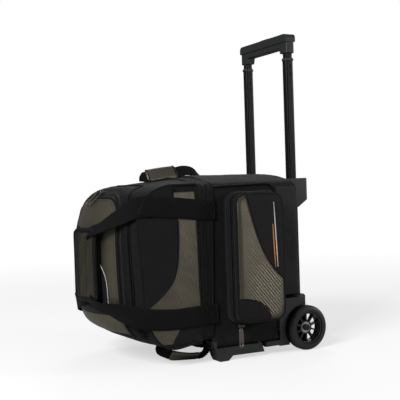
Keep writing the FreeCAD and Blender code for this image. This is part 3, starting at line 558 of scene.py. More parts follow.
black_cloth = cloth_material("black_cloth", (0.0068, 0.0068, 0.0068), 1.7)
band_cloth = cloth_material("coated_cloth", (0.009, 0.009, 0.009), 1.5, 0.03, 0.6, 0.25)
piping_cloth = cloth_material("piping_cloth", (0.005, 0.005, 0.005), 1.2, 0.02, 0.55, 0.05)
rear_cloth = cloth_material("rear_cloth", (0.019, 0.019, 0.019), 1.3, 0.03, 0.5, 0.2)
# painted shade: side_vinyl and pocket_vinyl are the door's bronze vinyl made darker, standing in for the
# weaker light on the bag's sides
side_vinyl = vinyl_material("side_vinyl", (0.138, 0.123, 0.094), (0, 1, 0.12), 3.2)
pocket_vinyl = vinyl_material("pocket_vinyl", (0.122, 0.109, 0.082), (0, 1, 0.85), 2.6)
door_vinyl = vinyl_material("door_vinyl", (0.165, 0.148, 0.113), (1, 0, -0.9), 2.6)
wrap_vinyl = vinyl_material("wrap_vinyl", (0.085, 0.077, 0.057), (1, 0, -0.8), 4.2, 0.2)
handle_vinyl = vinyl_material("handle_vinyl", (0.15, 0.138, 0.11), (0, 1, 0.6), 2.4)
webbing = webbing_material()
thread = grained_material("thread", (0.02, 0.02, 0.02), 0.6, 0.7, 0.05)
coil = grained_material("zip_coil", (0.016, 0.016, 0.017), 0.35, 1.2, 0.03, 1.8)
pull_metal = metal_material("pull_metal", (0.22, 0.195, 0.16), 0.33, (1, 1, 1))
steel = metal_material("steel", (0.55, 0.55, 0.54), 0.26, (1, 1, 1))
tube_metal = metal_material("tube_metal", (0.03, 0.031, 0.031), 0.33, (1, 1, 0.03), 0.5, 0.02)
moulded = plastic_material("moulded_plastic", (0.015, 0.0165, 0.0165), 0.5)
gloss = plastic_material("button_plastic", (0.016, 0.016, 0.017), 0.3, 0.02)
rim_plastic = plastic_material("rim_plastic", (0.007, 0.007, 0.0073), 0.24, 0.02)
dark_steel = metal_material("dark_steel", (0.05, 0.05, 0.05), 0.35, (1, 1, 1))
tyre = grained_material("tyre_urethane", (0.010, 0.010, 0.010), 0.45, 3.0, 0.06, 1.6)
board = grained_material("stiffener_board", (0.05, 0.042, 0.032), 0.85, 2.0, 0.15)
foam = grained_material("foam", (0.035, 0.035, 0.037), 0.95, 1.6, 0.4)
trim_pale = grained_material("pale_trim", (0.62, 0.62, 0.6), 0.6, 0.8, 0.06, 0.8)
trim_orange = grained_material("orange_trim", (0.72, 0.20, 0.045), 0.6, 0.8, 0.06, 0.75)


def add(piece, body="bag", slot="black_fabric", *nodes):
    """Let a piece ride on a body and hide the CAD nodes it stands for. slot is not used."""
    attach(piece, body)
    if nodes:
        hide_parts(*nodes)
    return piece


def sewn_between(piece, body, slot, fixed, free, *nodes):
    """Hide the CAD nodes a piece stands for and bake its placement into its mesh. body, slot, fixed and free
    are not used.
    """
    if nodes:
        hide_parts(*nodes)
    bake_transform(piece)


# ---------------------------------------------------------------- places taken from the frame

shell_low, shell_high = box("body_shell")
ring_low, ring_high = box("gusset_bands")
front_low, front_high = box("front_shell")
pocket_low, pocket_high = box("right_pocket_lid")
tray_low, tray_high = box("right_pocket_shell")
door_low, door_high = box("front_door")
HALF = shell_high[0]
REAR = ring_low[1]
FOOT = ring_low[2]
OPENING_HALF = box("door_zipper")[1][0] + 0.6
OPENING_FOOT = door_low[2] - 0.6
OPENING_TOP = door_high[2] + 5.6
OPENING_CORNER = 60.0


# ---------------------------------------------------------------- outline of the bag

def hoop(half, low, high, rise, drop, corner, step=6.0):
    """The bag's section as (across, up) points: a rounded box whose top bows up and foot bows down."""
    points = evenly(rounded_box((-half, low), (half, high), corner), step, True)
    x, z = points[:, 0], points[:, 1]
    level = 2 * (z - low) / (high - low) - 1
    bow = 1 - (x / half) ** 2
    z = z + bow * (rise * np.maximum(level, 0) ** 3 - drop * np.maximum(-level, 0) ** 3)
    return np.stack([x, z], 1)


def hoop_at(outline, y):
    """A hoop placed in the bag; y may vary from point to point."""
    return np.stack([outline[:, 0], np.full(len(outline), 0.0) + y, outline[:, 1]], 1)


def hoop_outs(outline):
    """Outward directions of a hoop's points."""
    tangent = directions(outline, True)
    return np.stack([tangent[:, 1], np.zeros(len(outline)), -tangent[:, 0]], 1)


def front_seam(z):
    """Where the gusset meets the front section: the gusset narrows towards the foot."""
    return REAR + 6 * (1 - np.clip((z - FOOT) / 300, 0, 1))


def rear_seam(z):
    """Where the gusset meets the main body."""
    return ring_high[1] - 8 * (1 - np.clip((z - FOOT) / 300, 0, 1))


# Side view of the front section: how far ahead of the gusset and how high above its foot, first
# along the seam at the side panels, then along the middle of the bag.
SEAM_PROFILE = [(0, 312), (35, 311.5), (62, 310), (93, 298), (111, 277), (120, 251), (121, 214),
                (118, 177), (115, 129), (112, 85), (102, 47), (83, 19), (57, 7), (28, 9), (0, 16)]
MIDDLE_PROFILE = [(0, 323), (43, 318), (80, 312), (115, 305), (142, 294), (160, 272), (174, 234),
                  (178, 184), (178, 134), (175, 85), (164, 54), (135, 33), (100, 15), (55, 1), (0, 0)]
PROFILE_STEPS = 9


def profile(pairs):
    curve = spline(pairs, PROFILE_STEPS)
    return np.stack([REAR - curve[:, 0], FOOT + curve[:, 1]], 1)


seam_curve = profile(SEAM_PROFILE)
middle_curve = profile(MIDDLE_PROFILE)
NOSE_ROWS = slice(2 * PROFILE_STEPS, 12 * PROFILE_STEPS)


def bow(across):
    """Share of the way from the seam's shape to the middle's, at a place across the bag."""
    return 1 - np.abs(across / HALF) ** 2.1


def front_net(columns=64):
    """The front section's skin, from the top of the gusset round the nose to its foot."""
    widest = math.pi / 2 * 0.97
    across = HALF * np.sin(np.linspace(-widest, widest, columns)) / math.sin(widest)
    share = bow(across)[None, :, None]
    side_view = seam_curve[:, None] * (1 - share) + middle_curve[:, None] * share
    net = np.concatenate([np.broadcast_to(across[None, :, None], side_view.shape[:2] + (1,)), side_view], 2)
    edge = front_seam(net[..., 2])
    net[..., 1] = np.minimum(net[..., 1], edge)
    return net


def nose_y(across, up):
    """How far forward the nose stands at a place across and up."""
    share = bow(across)
    curve = seam_curve[NOSE_ROWS] * (1 - share) + middle_curve[NOSE_ROWS] * share
    return np.interp(-up, -curve[:, 1], curve[:, 0])


def on_nose(points, lift):
    """Points given across and up, laid on the nose and raised by lift. Also the normals there."""
    points = np.asarray(points, float)
    flat = points.reshape(-1, 2)
    delta = 0.5
    laid, normals = [], []
    for x, z in flat:
        y = nose_y(x, z)
        slope_x = (nose_y(x + delta, z) - nose_y(x - delta, z)) / (2 * delta)
        slope_z = (nose_y(x, z + delta) - nose_y(x, z - delta)) / (2 * delta)
        normal = np.array([slope_x, -1.0, slope_z])
        normal /= np.linalg.norm(normal)
        laid.append(np.array([x, y, z]) + normal * lift)
        normals.append(normal)
    shape = points.shape[:-1] + (3,)
    return np.array(laid).reshape(shape), np.array(normals).reshape(shape)


def opening_path(inset, step=3.0):
    """The door's outline, drawn in by inset, from its lower right corner round the top to the left."""
    half = OPENING_HALF - inset
    corner = OPENING_CORNER - inset
    top = OPENING_TOP - inset
    foot = OPENING_FOOT + 2
    points = [(half, foot), (half, top - corner)]
    for centre, turn in ((half - corner, 0), (corner - half, 90)):
        for angle in np.radians(np.linspace(turn, turn + 90, 13)):
            points.append((centre + corner * math.cos(angle), top - corner + corner * math.sin(angle)))
    points += [(-half, top - corner), (-half, foot)]
    return evenly(points, step)


def door_net(inset, low, columns, rows):
    """A net over the door, drawn in by inset at the sides and top, as (across, up) points."""
    corner = OPENING_CORNER - inset
    top = OPENING_TOP - inset
    levels = np.r_[np.linspace(low, top - corner, rows), top - corner
                   + corner * np.sin(np.linspace(0, math.pi / 2, rows // 3 + 2))[1:]]
    reach = OPENING_HALF - inset - corner + np.sqrt(np.maximum(
        corner ** 2 - np.maximum(levels - top + corner, 0) ** 2, 0))
    share = np.linspace(-1, 1, columns)
    return np.stack(np.broadcast_arrays(reach[:, None] * share[None], levels[:, None]), 2)


# ---------------------------------------------------------------- front section

def build_front_shell():
    """The skin over the top, nose and foot of the front section, with the door's opening cut out."""
    net = front_net()
    normals = net_normals(net)
    if normals[len(net) // 2, net.shape[1] // 2, 1] > 0:
        normals = -normals
    net = ripple(net, normals, 1.3, 42.0, 3.0)
    skin = sheet("front_skin", net, normals, 3.5, black_cloth)
    outline = np.vstack([opening_path(0.0), [(-OPENING_HALF, OPENING_FOOT), (OPENING_HALF, OPENING_FOOT)]])
    ahead, behind = (np.insert(outline, 1, front_low[1] + away, 1) for away in (-30, 75))
    subtract(skin, prism("opening", ahead, behind, black_cloth))
    skin.data.shade_smooth()
    return skin


def side_front(z):
    """How far forward the side panel of the front section reaches at a height."""
    rows = seam_curve[NOSE_ROWS]
    return np.interp(-z, -rows[:, 1], rows[:, 0])


def side_net(rear, front, low, high, rows, columns, puff=0.0):
    """A net on a side panel between two boundaries, each a function of height."""
    levels = np.linspace(low, high, rows)
    share = np.linspace(0, 1, columns)
    back = np.array([rear(z) for z in levels])
    fore = np.array([front(z) for z in levels])
    y = back[:, None] + (fore - back)[:, None] * share[None]
    pillow = np.sqrt(np.sin(np.pi * share))[None] * np.sqrt(
        np.sin(np.pi * np.linspace(0.0, 1.0, rows)))[:, None]
    x = HALF + puff * pillow
    return np.stack([x, y, np.broadcast_to(levels[:, None], y.shape)], 2)


def build_side_panel():
    """The D-shaped side panel, its vinyl layer and the black inset sewn over it."""
    top = seam_curve[0, 1]
    foot = seam_curve[12 * PROFILE_STEPS, 1]

    base = side_net(front_seam, side_front, foot + 1, top - 1, 70, 40, 1.2)
    outs = np.broadcast_to(ACROSS, base.shape)
    panel = sheet("side_base", ripple(base, outs, 0.8, 35.0, 9.0), outs, 3.0, black_cloth)
    skin = Skin(panel)

    boundary = spline([(297, 48), (275, 40), (237, 39.5), (195, 43), (168, 51), (149, 65), (132, 84),
                       (113, 112)], 8)

    def inset_rear(z):
        return REAR - np.interp(-z, -boundary[:, 0], boundary[:, 1])

    vinyl = side_net(front_seam, lambda z: side_front(z) + 2.5, 46, top - 14, 150, 60)
    vinyl, normals = skin.lay(vinyl, -ACROSS, 0.9)
    vinyl = rib(vinyl, normals, (0, 1, 0.1), 3.8, 0.3)
    vinyl_sheet = sheet("side_vinyl", vinyl, normals, 1.2, side_vinyl)

    inset = side_net(inset_rear, lambda z: side_front(z) + 1.5, 113, top - 2, 90, 30)
    inset, normals = skin.lay(inset, -ACROSS, 1.9)
    inset = ripple(inset, normals, 0.9, 30.0, 5.0)
    inset_sheet = sheet("side_inset", inset, normals, 1.5, black_cloth)

    def corner_front(z):
        return REAR - 40 - 16 * smooth((78 - z) / 32)

    corner = side_net(front_seam, corner_front, 47, 82, 20, 16)
    corner, normals = skin.lay(corner, -ACROSS, 1.6)
    corner_sheet = sheet("side_corner", corner, normals, 1.2, black_cloth)

    levels = np.linspace(113, top - 3, 80)
    edge = np.array([(HALF, inset_rear(z), z) for z in levels])
    edge, normals = skin.lay(edge, -ACROSS, 2.4)
    cord = sweep("side_cord", edge, normals, round_section(1.1, 8), piping_cloth)
    seam = edge + np.array([0, -4.0, 0])
    stitched = beads("side_stitches", seam, normals, 4.4, (1.5, 0.35, 0.3), thread)
    return panel, vinyl_sheet, inset_sheet, corner_sheet, cord, stitched


def rib(net, normals, way, pitch, depth):
    """Raise ribs across a net that repeat every pitch millimetres along a direction."""
    along = net @ unit(np.array(way, float))
    return net + normals * (depth * np.sin(TAU * along / pitch))[..., None]


def seam_points(step=2.5):
    """The seam between the right side panel and the front skin."""
    curve = np.stack([np.full(len(seam_curve), HALF), seam_curve[:, 0], seam_curve[:, 1]], 1)
    curve[:, 1] = np.minimum(curve[:, 1], front_seam(curve[:, 2]))
    return evenly(curve, step)


def build_front_section():
    """The front section's skin, both side panels and the piping between them."""
    skin = build_front_shell()
    add(skin, "bag", "black_fabric", "front_shell")
    for layer in build_side_panel():
        name = layer.name
        slot = "bronze_vinyl" if "vinyl" in name else "black_fabric"
        add(reflected(layer, "left_" + name), "bag", slot)
        layer.name = "right_" + name
        add(layer, "bag", slot)
    seam = seam_points()
    outs = np.broadcast_to(ACROSS, seam.shape)
    for side, sign in SIDES:
        flip = np.array([sign, 1, 1])
        cord = sweep(side + "_front_piping", (seam + [0.6, 0, 0]) * flip, outs * flip,
                     round_section(2.3), piping_cloth)
        add(cord)


def leaning(outs):
    """Widths that keep two bands together where the nose leans back and their outlines draw apart."""
    return np.stack([1 / np.maximum(np.abs(outs[:, 1]), 0.35), np.ones(len(outs))], 1)


def build_door_hinge():
    """The strip of cloth sewn to the bag and to the door's foot."""
    across = np.linspace(3 - OPENING_HALF, OPENING_HALF - 3, 57)
    levels = np.linspace(OPENING_FOOT - 6, OPENING_FOOT + 9, 26)
    laid, normals = on_nose(grid(across, levels), -1.2)
    strip = sheet("door_hinge_cloth", laid, normals, 1.4, black_cloth)
    sewn_between(strip, "front_door", "black_fabric", OPENING_FOOT - 3, OPENING_FOOT + 6)


def build_door():
    """The door: padded panel, vinyl face, central patch, and the zip round three sides."""
    net = door_net(6.0, OPENING_FOOT + 1, 57, 60)
    laid, normals = on_nose(net, 0.0)
    laid = ripple(laid, normals, 1.0, 40.0, 12.0)
    panel = sheet("door_panel", laid, normals, 4.0, black_cloth)
    add(panel, "front_door", "black_fabric", "front_door")

    net = door_net(13.0, OPENING_FOOT + 8, 130, 130)
    laid, normals = on_nose(net, 1.4)
    laid = rib(laid, normals, (1, 0, -0.9), 3.4, 0.16)
    add(sheet("door_vinyl", laid, normals, 1.2, door_vinyl), "front_door", "bronze_vinyl")

    levels = np.linspace(104, 214, 40)
    share = np.linspace(-1, 1, 34)
    reach = 79 * (1 - np.abs((levels - 140) / 76) ** 3.2 * np.where(levels > 140, 0.42, 1.0))
    patch = np.stack(np.broadcast_arrays(reach[:, None] * share[None], levels[:, None]), 2)
    laid, normals = on_nose(patch, 2.4)
    add(sheet("door_patch", laid, normals, 1.2, black_cloth), "front_door", "black_fabric")
    for side, sign in SIDES:
        line, outs = on_nose(np.stack([sign * reach, levels], 1)[6:36], 3.0)
        add(sweep(side + "_door_trim", line, outs, band_section(1.8, 0.9), trim_pale), "front_door",
            "black_fabric")

    border, outs = on_nose(opening_path(10.5), 1.6)
    add(sweep("door_binding", border, outs, band_section(7, 2.0, 0.8), piping_cloth), "front_door",
        "black_fabric")
    stitch, outs = on_nose(opening_path(16.0), 2.6)
    add(beads("door_stitches", stitch, outs, 4.4, (1.5, 0.35, 0.35), thread), "front_door", "black_fabric")
    chain, outs = on_nose(opening_path(3.3), 0.6)
    tape = sweep("door_tape", chain, outs, band_section(13.0, 1.2), piping_cloth, swell=leaning(outs))
    chain, outs = on_nose(opening_path(3.3), 1.5)
    teeth = beads("door_teeth", chain, outs, 2.1, (1.7, 0.62, 0.7), coil, crosswise=True, stagger=0.7)
    add(merge("door_zip", [tape, teeth]), "front_door", "zip_coil", "door_zipper")
    border, outs = on_nose(opening_path(-5.5), 1.2)
    add(sweep("opening_binding", border, outs, band_section(10.5, 2.4, 1.4), piping_cloth,
              swell=leaning(outs)))
    ridge, outs = on_nose(opening_path(-12.5), 0.8)
    add(sweep("opening_piping", ridge, outs, round_section(1.5, 8), piping_cloth))


# ---------------------------------------------------------------- gusset and main body

def build_gusset():
    """The zipped hoop between the main body and the front section: two padded bands and a chain."""
    outline = hoop(HALF, FOOT + 17, ring_high[2] - 20, 15, 15, 10)
    outs = hoop_outs(outline)
    z = outline[:, 1]
    front, rear = front_seam(z), rear_seam(z)
    for name, start, end in (("gusset_front", 0.03, 0.40), ("gusset_rear", 0.60, 0.97)):
        rows = []
        for share in np.linspace(0, 1, 9):
            y = front + (rear - front) * (start + (end - start) * share)
            lift = 1.8 * math.sin(math.pi * share) ** 0.7
            rows.append(hoop_at(outline, y) + outs * lift)
        net = np.array(rows)
        normals = np.broadcast_to(outs[None], net.shape)
        net = ripple(net, normals, 0.8, 16.0, 2.0)
        add(sheet(name + "_band", net, normals, 2.0, black_cloth, closed=True))
    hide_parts("gusset_bands")
    middle = hoop_at(outline, (front + rear) / 2)
    tape = sweep("gusset_tape", middle - outs * 0.6, outs, band_section(11, 1.2), piping_cloth, closed=True)
    teeth = beads("gusset_teeth", middle + outs * 0.6, outs, 2.1, (2.2, 0.65, 0.8), coil, closed=True,
                  crosswise=True, stagger=0.6)
    add(merge("gusset_chain", [tape, teeth]), "bag", "zip_coil", "gusset_zipper")
    for name, y, radius in (("gusset_front_piping", front + 0.5, 2.3),
                            ("gusset_rear_piping", rear - 0.5, 2.3),
                            ("gusset_front_ridge", front + (rear - front) * 0.36, 1.3),
                            ("gusset_rear_ridge", front + (rear - front) * 0.64, 1.3)):
        path = hoop_at(outline, y) + outs * 0.7
        add(sweep(name, path, outs, round_section(radius), piping_cloth, closed=True))


def build_body():
    """The main compartment: a hoop drawn back and rounded into the back panel."""
    high = shell_high[2] - 20
    back = shell_high[1]
    outline = hoop(HALF - 0.3, shell_low[2], high, 20, 0, 11, 5.0)
    outs = hoop_outs(outline)
    centre = np.array([0, 0, (shell_low[2] + high) / 2])
    rows = []
    start = rear_seam(outline[:, 1])
    rounding = 13.0
    for share in np.linspace(0, 1, 34):
        rows.append(hoop_at(outline, start + (back - rounding - start) * share))
    for angle in np.radians(np.linspace(15, 90, 6)):
        rows.append(hoop_at(outline, back - rounding + rounding * math.sin(angle))
                    - outs * rounding * (1 - math.cos(angle)))
    last = rows[-1]
    for share in np.linspace(0.1, 0.97, 16):
        ring = last * (1 - share) + centre * share
        ring[:, 1] = back - 0.6 * share
        rows.append(ring)
    net = notched(np.array(rows))
    normals = net_normals(net, closed=True)
    if normals[10, 0, 0] * net[10, 0, 0] < 0:
        normals = -normals
    net = ripple(net, normals, 1.1, 48.0, 20.0)
    shell = sheet("main_body", net, normals, 3.5, black_cloth, closed=True)
    add(shell, "bag", "black_fabric", "body_shell")
    add(back_cover(last, back, centre))


def notched(net):
    """Clear the lower back corners, where the wheel housings stand."""
    low, high = box("right_wheel_housing")
    front, inside, top = high[1] - 74, low[0] + 12, high[2] + 2
    hit = (net[..., 1] > front) & (net[..., 2] < top) & (np.abs(net[..., 0]) > inside)
    net[..., 0] = np.where(hit, np.sign(net[..., 0]) * inside, net[..., 0])
    return net


def back_cover(rim, back, centre):
    """A small plate that closes the middle of the back panel."""
    ring = rim * 0.1 + centre * 0.9
    outer, inner = ([(x, back - depth, z) for x, _, z in ring] for depth in (0.2, 3.0))
    return prism("back_patch", outer, inner, band_cloth)


def build_body_trim():
    """Piping on the top edge of each side panel that turns down ahead of the plain rear band."""
    high = shell_high[2] - 20
    turn = shell_high[1] - 57
    corner = 24.0
    path = [(rear_seam(high), high - 4), (turn - 60, high - 2), (turn - corner, high - 1)]
    for angle in np.radians(np.linspace(75, 0, 6)):
        path.append((turn - corner + corner * math.cos(angle), high - 1 - corner + corner * math.sin(angle)))
    path += [(turn, high - 120), (turn - 1, pocket_low[2] + 40), (turn - 2, shell_low[2] + 16)]
    curve = evenly(spline([(HALF + 0.4, y, z) for y, z in path], 8), 3.0)
    outs = np.broadcast_to(ACROSS, curve.shape)
    skin = Skin(bpy.data.objects["main_body"])
    levels = np.linspace(box("right_wheel_housing")[1][2] + 4, high - 8, 60)
    across = np.linspace(turn + 1.5, shell_high[1] - 3, 24)
    band, normals = skin.lay(np.insert(grid(across, levels), 0, HALF, 2), -ACROSS, 0.9)
    band_sheet = sheet("right_rear_band", band, normals, 1.4, rear_cloth)
    add(reflected(band_sheet, "left_rear_band"))
    add(band_sheet)
    for side, sign in SIDES:
        flip = np.array([sign, 1, 1])
        add(sweep(side + "_body_piping", curve * flip, outs * flip, round_section(2.0), piping_cloth))
        add(beads(side + "_body_stitches", (curve + [0.4, -4.5, -4.5]) * flip, outs * flip, 4.4,
                  (1.5, 0.35, 0.35), thread))


# ---------------------------------------------------------------- side pockets

POCKET_CORNER = 22.0
FACE_INSET = 5.5   # how far the panels on the lid stay inside the pocket's outline
FACE_FOOT = pocket_low[2] + FACE_INSET
FACE_TOP = pocket_high[2] - FACE_INSET


def pocket_outline(inset, step=5.0):
    """The pocket's rounded outline, drawn in by inset, as (along, up) points."""
    low, high = pocket_low[1:] + inset, pocket_high[1:] - inset
    return evenly(rounded_box(low, high, POCKET_CORNER - inset, 8), step, True)


def pocket_ring(inset, x, step=3.0):
    """The pocket's outline at a distance from the bag, with the ways out of the outline."""
    outline = pocket_outline(inset, step)
    tangent = directions(outline, True)
    path = np.stack([np.full(len(outline), x), outline[:, 0], outline[:, 1]], 1)
    outs = np.stack([np.zeros(len(outline)), tangent[:, 1], -tangent[:, 0]], 1)
    return path, outs


def pocket_boundary(z):
    """Rear edge of the vinyl on the pocket at a height: steep at the top, sweeping back lower down."""
    share = np.clip((pocket_high[2] - 8 - z) / 166, 0, 1)
    return pocket_low[1] + 25 + 46 * share + 38 * share ** 4


def build_pocket():
    """One pocket as a dictionary of pieces, modelled on the right."""
    made = {}
    rows = []
    depth = tray_high[0] - tray_low[0]
    for share in np.linspace(0, 1, 8):
        path, outs = pocket_ring(0.0, tray_low[0] + depth * share)
        rows.append(path + outs * (1.6 * math.sin(math.pi * share)))
    net = np.array(rows)
    normals = np.broadcast_to(outs[None], net.shape)
    net = ripple(net, normals, 0.7, 22.0, 31.0)
    made["tray"] = sheet("tray", net, normals, 2.5, black_cloth, closed=True)
    path, outs = pocket_ring(-0.6, tray_low[0] + 1.2)
    made["tray_piping"] = sweep("tray_piping", path, outs, round_section(2.1), piping_cloth, closed=True)
    path, outs = pocket_ring(1.2, tray_high[0] + 2.1)
    tape = sweep("tape", path, outs, band_section(4.4, 1.4), piping_cloth, closed=True)
    path, outs = pocket_ring(0.3, tray_high[0] + 2.1, 2.1)
    teeth = beads("teeth", path, outs, 2.1, (1.5, 0.6, 0.7), coil, closed=True, crosswise=True, stagger=0.35)
    made["zip"] = merge("zip", [tape, teeth])

    made["lid"] = pad("lid", pocket_outline(2.6), pocket_low[0] + 1.2, pocket_high[0] - 3.2,
                      lambda y, z, x: (x, y, z), ACROSS, black_cloth, cap=3.0)
    made.update(pocket_face(Skin(made["lid"])))
    return made


def lid_net(front, rear, low, high, rows, columns):
    """A net on the pocket's face between two boundaries that keep inside its rounded outline."""
    corner = 16.0
    levels = np.linspace(low, high, rows)
    share = np.linspace(0, 1, columns)

    def limit(z):
        gap = max(0.0, FACE_FOOT + corner - z, z - FACE_TOP + corner)
        return FACE_INSET + corner - math.sqrt(max(corner ** 2 - gap ** 2, 0))

    fore = np.array([max(front(z), pocket_low[1] + limit(z)) for z in levels])
    back = np.array([min(rear(z), pocket_high[1] - limit(z)) for z in levels])
    y = fore[:, None] + (back - fore)[:, None] * share[None]
    x = np.full(y.shape, pocket_high[0])
    return np.stack([x, y, np.broadcast_to(levels[:, None], y.shape)], 2)


def quarter_rear(z):
    """Rear edge of the black quarter at the pocket's lower front corner."""
    rise = np.clip((z - pocket_low[2]) / 51, 0, 1)
    return pocket_low[1] + 73 * math.sqrt(max(0.0, 1 - rise ** 2.2))


def pocket_face(skin):
    """Everything sewn to the pocket's front: vinyl, black panels, cords, stitches and two plain stripes."""
    made = {}
    foot, top = FACE_FOOT, FACE_TOP

    def anywhere(z):
        return -1000.0

    def far(z):
        return 1000.0

    vinyl = lid_net(anywhere, far, foot, top, 330, 120)
    vinyl, normals = skin.lay(vinyl, -ACROSS, 0.5)
    back = vinyl[..., 1] - pocket_low[1]
    bold = smooth((back - 15) / 40) * smooth((108 - back) / 25) * smooth((210 - vinyl[..., 2]) / 60)
    ribs = np.sin(TAU * (vinyl @ unit(np.array([0, 1.0, 0.85]))) / 5.2) * (0.15 + 0.36 * bold)
    vinyl = vinyl + normals * ribs[..., None]
    made["vinyl"] = sheet("vinyl", vinyl, normals, 1.2, pocket_vinyl)

    upper = lid_net(pocket_boundary, far, 153, top, 90, 26)
    upper, normals = skin.lay(upper, -ACROSS, 1.3)
    made["upper_panel"] = sheet("upper_panel", upper, normals, 1.4, band_cloth)
    lower = lid_net(anywhere, quarter_rear, foot, pocket_low[2] + 50.5, 30, 26)
    lower, normals = skin.lay(lower, -ACROSS, 1.3)
    made["lower_panel"] = sheet("lower_panel", lower, normals, 1.4, black_cloth)

    levels = np.linspace(top - 1, 153, 70)
    edge = np.array([(pocket_high[0], pocket_boundary(z), z) for z in levels])
    edge, normals = skin.lay(edge, -ACROSS, 1.5)
    made["upper_cord"] = sweep("upper_cord", edge, normals, round_section(0.9, 8), piping_cloth)
    angle = np.linspace(0.03, math.pi / 2 - 0.03, 30)
    curve = np.stack([np.full(30, pocket_high[0]), pocket_low[1] + 6 + 67 * np.sin(angle),
                      foot + (pocket_low[2] + 50.5 - foot) * np.cos(angle) ** 0.9], 1)
    curve, normals = skin.lay(curve, -ACROSS, 1.5)
    made["lower_cord"] = sweep("lower_cord", curve, normals, round_section(0.9, 8), piping_cloth)

    path, _ = pocket_ring(5.0, pocket_high[0])
    ring, normals = skin.lay(path, -ACROSS, 0.7)
    made["face_piping"] = sweep("face_piping", ring, normals, round_section(2.0), piping_cloth, closed=True)
    path, outs = pocket_ring(3.4, pocket_low[0] + 2.6)
    made["rim_piping"] = sweep("rim_piping", path, outs, round_section(2.2), piping_cloth, closed=True)
    path, _ = pocket_ring(9.0, pocket_high[0])
    ring, normals = skin.lay(path, -ACROSS, 1.9)
    made["face_stitches"] = beads("face_stitches", ring, normals, 4.4, (1.5, 0.3, 0.3), thread, closed=True)

    for name, shift, low, high, material in (("pale_stripe", 0.0, 178, 304, trim_pale),
                                             ("orange_stripe", -5.5, 178, 262, trim_orange)):
        levels = np.linspace(low, high, 60)
        line = np.array([(pocket_high[0], pocket_high[1] - 21 + shift - (z - 178) * 0.045, z)
                         for z in levels])
        line, normals = skin.lay(line, -ACROSS, 2.0)
        taper = np.stack([0.35 + 0.65 * np.sin(np.linspace(0.05, 0.95, 60) * math.pi), np.ones(60)], 1)
        made[name] = sweep(name, line, normals, band_section(2.6, 0.8), material, swell=taper)
    return made


def build_pockets():
    """Both pockets: the left one is the right one reflected."""
    slots = {"vinyl": "bronze_vinyl", "zip": "zip_coil"}
    for key, piece in build_pocket().items():
        for side, sign in SIDES[::-1]:
            nodes = {"tray": [side + "_pocket_shell"], "zip": ["pocket_zippers"],
                     "lid": [side + "_pocket_lid"]}.get(key, [])
            name = f"{side}_pocket_{key}"
            copy = piece if sign > 0 else reflected(piece, name)
            copy.name = name
            body = "bag" if key in ("tray", "tray_piping", "zip") else side + "_pocket_lid"
            add(copy, body, slots.get(key, "black_fabric"), *nodes)


# ---------------------------------------------------------------- zip sliders and pulls

def bar(name, path, halves, out, thickness):
    """A flat metal plate with rounded edges along a path, with its half width at each point."""
    swell = np.stack([halves, np.ones(len(halves))], 1)
    return sweep(name, path, np.broadcast_to(out, path.shape), band_section(2.0, thickness), pull_metal,
                 swell=swell)


def build_pull_pair():
    """Sliders and pull tabs of the door's zip and the pockets' zips."""
    for side, sign in SIDES:
        low, high = box(side + "_door_slider")
        middle = (low + high) / 2
        slope = Euler((math.radians(40), 0, 0)).to_matrix()
        forward = np.array(slope @ Vector((0, -1, 0)))
        outward = np.array(slope @ Vector((0, 0, 1)))
        shares = np.linspace(-1, 1, 9)
        path = middle + forward * (shares * 4.6)[:, None] + outward * 0.6
        body = bar("slider", path, 3.4 + 2.2 * np.cos(shares * 1.2), outward, 2.6)
        turn = np.linspace(0, math.pi, 9)
        loop = (middle + forward * (np.cos(turn) * 3.2)[:, None]
                + outward * (1.2 + 3.2 * np.sin(turn))[:, None])
        bail = sweep("bail", loop, np.broadcast_to(ACROSS, loop.shape), band_section(2.2, 1.2), pull_metal)
        add(merge(side + "_door_slider_body", [body, bail]), side + "_door_slider", "zip_metal",
            side + "_door_slider")
        low, high = box(side + "_door_pull")
        start = np.array([(low[0] + high[0]) / 2, high[1], high[2]]) + outward * 2.6
        add(pull_tab(side + "_door_pull_tab", start, forward, outward, 33.0, 4.2), side + "_door_pull",
            "zip_metal", side + "_door_pull")
        low, high = box(side + "_pocket_slider")
        middle = (low + high) / 2
        path = middle + ALONG * (shares * 6.6)[:, None]
        body = bar(side + "_pocket_slider_body", path, 3.2 + 1.6 * np.cos(shares * 1.2), -UP, 4.4)
        add(body, side + "_pocket_slider", "zip_metal", side + "_pocket_slider")
        low, high = box(side + "_pocket_pull")
        start = np.array([(low[0] + high[0]) / 2, (low[1] + high[1]) / 2, high[2] - 0.6])
        add(pull_tab(side + "_pocket_pull_tab", start, -UP, ACROSS * sign, high[2] - low[2] - 1.0, 5.6),
            side + "_pocket_pull", "zip_metal", side + "_pocket_pull")


def pull_tab(name, start, forward, outward, length, wide):
    """A flat tab that widens from its hinge, with a round hole near its free end and a raised middle."""
    side = np.cross(forward, outward)
    stretch = np.linspace(0, 1, 41)
    end = 1 - wide / length
    half = wide * (0.45 + 0.55 * smooth(stretch / 0.25))
    past = np.clip((stretch - end) / (1 - end), 0, 1)
    half = half * np.sqrt(np.maximum(1 - past ** 2.5, 0.02))
    hole = 0.4 * wide * np.sqrt(np.maximum(1 - ((stretch - end) * length / (0.4 * wide)) ** 2, 0))
    parts = []
    for sign in (1, -1):
        path = start + forward * (stretch * length)[:, None] + side * (sign * (half + hole) / 2)[:, None]
        parts.append(bar("half", path, (half - hole) / 2 + 0.04, outward, 1.4))
    ridge = start + forward * (np.linspace(0.12, end - 0.14, 12) * length)[:, None] + outward * 0.5
    parts.append(sweep("ridge", ridge, np.broadcast_to(outward, ridge.shape),
                       band_section(wide * 0.8, 1.2), pull_metal))
    return merge(name, parts)


# ---------------------------------------------------------------- straps, wraps and handles

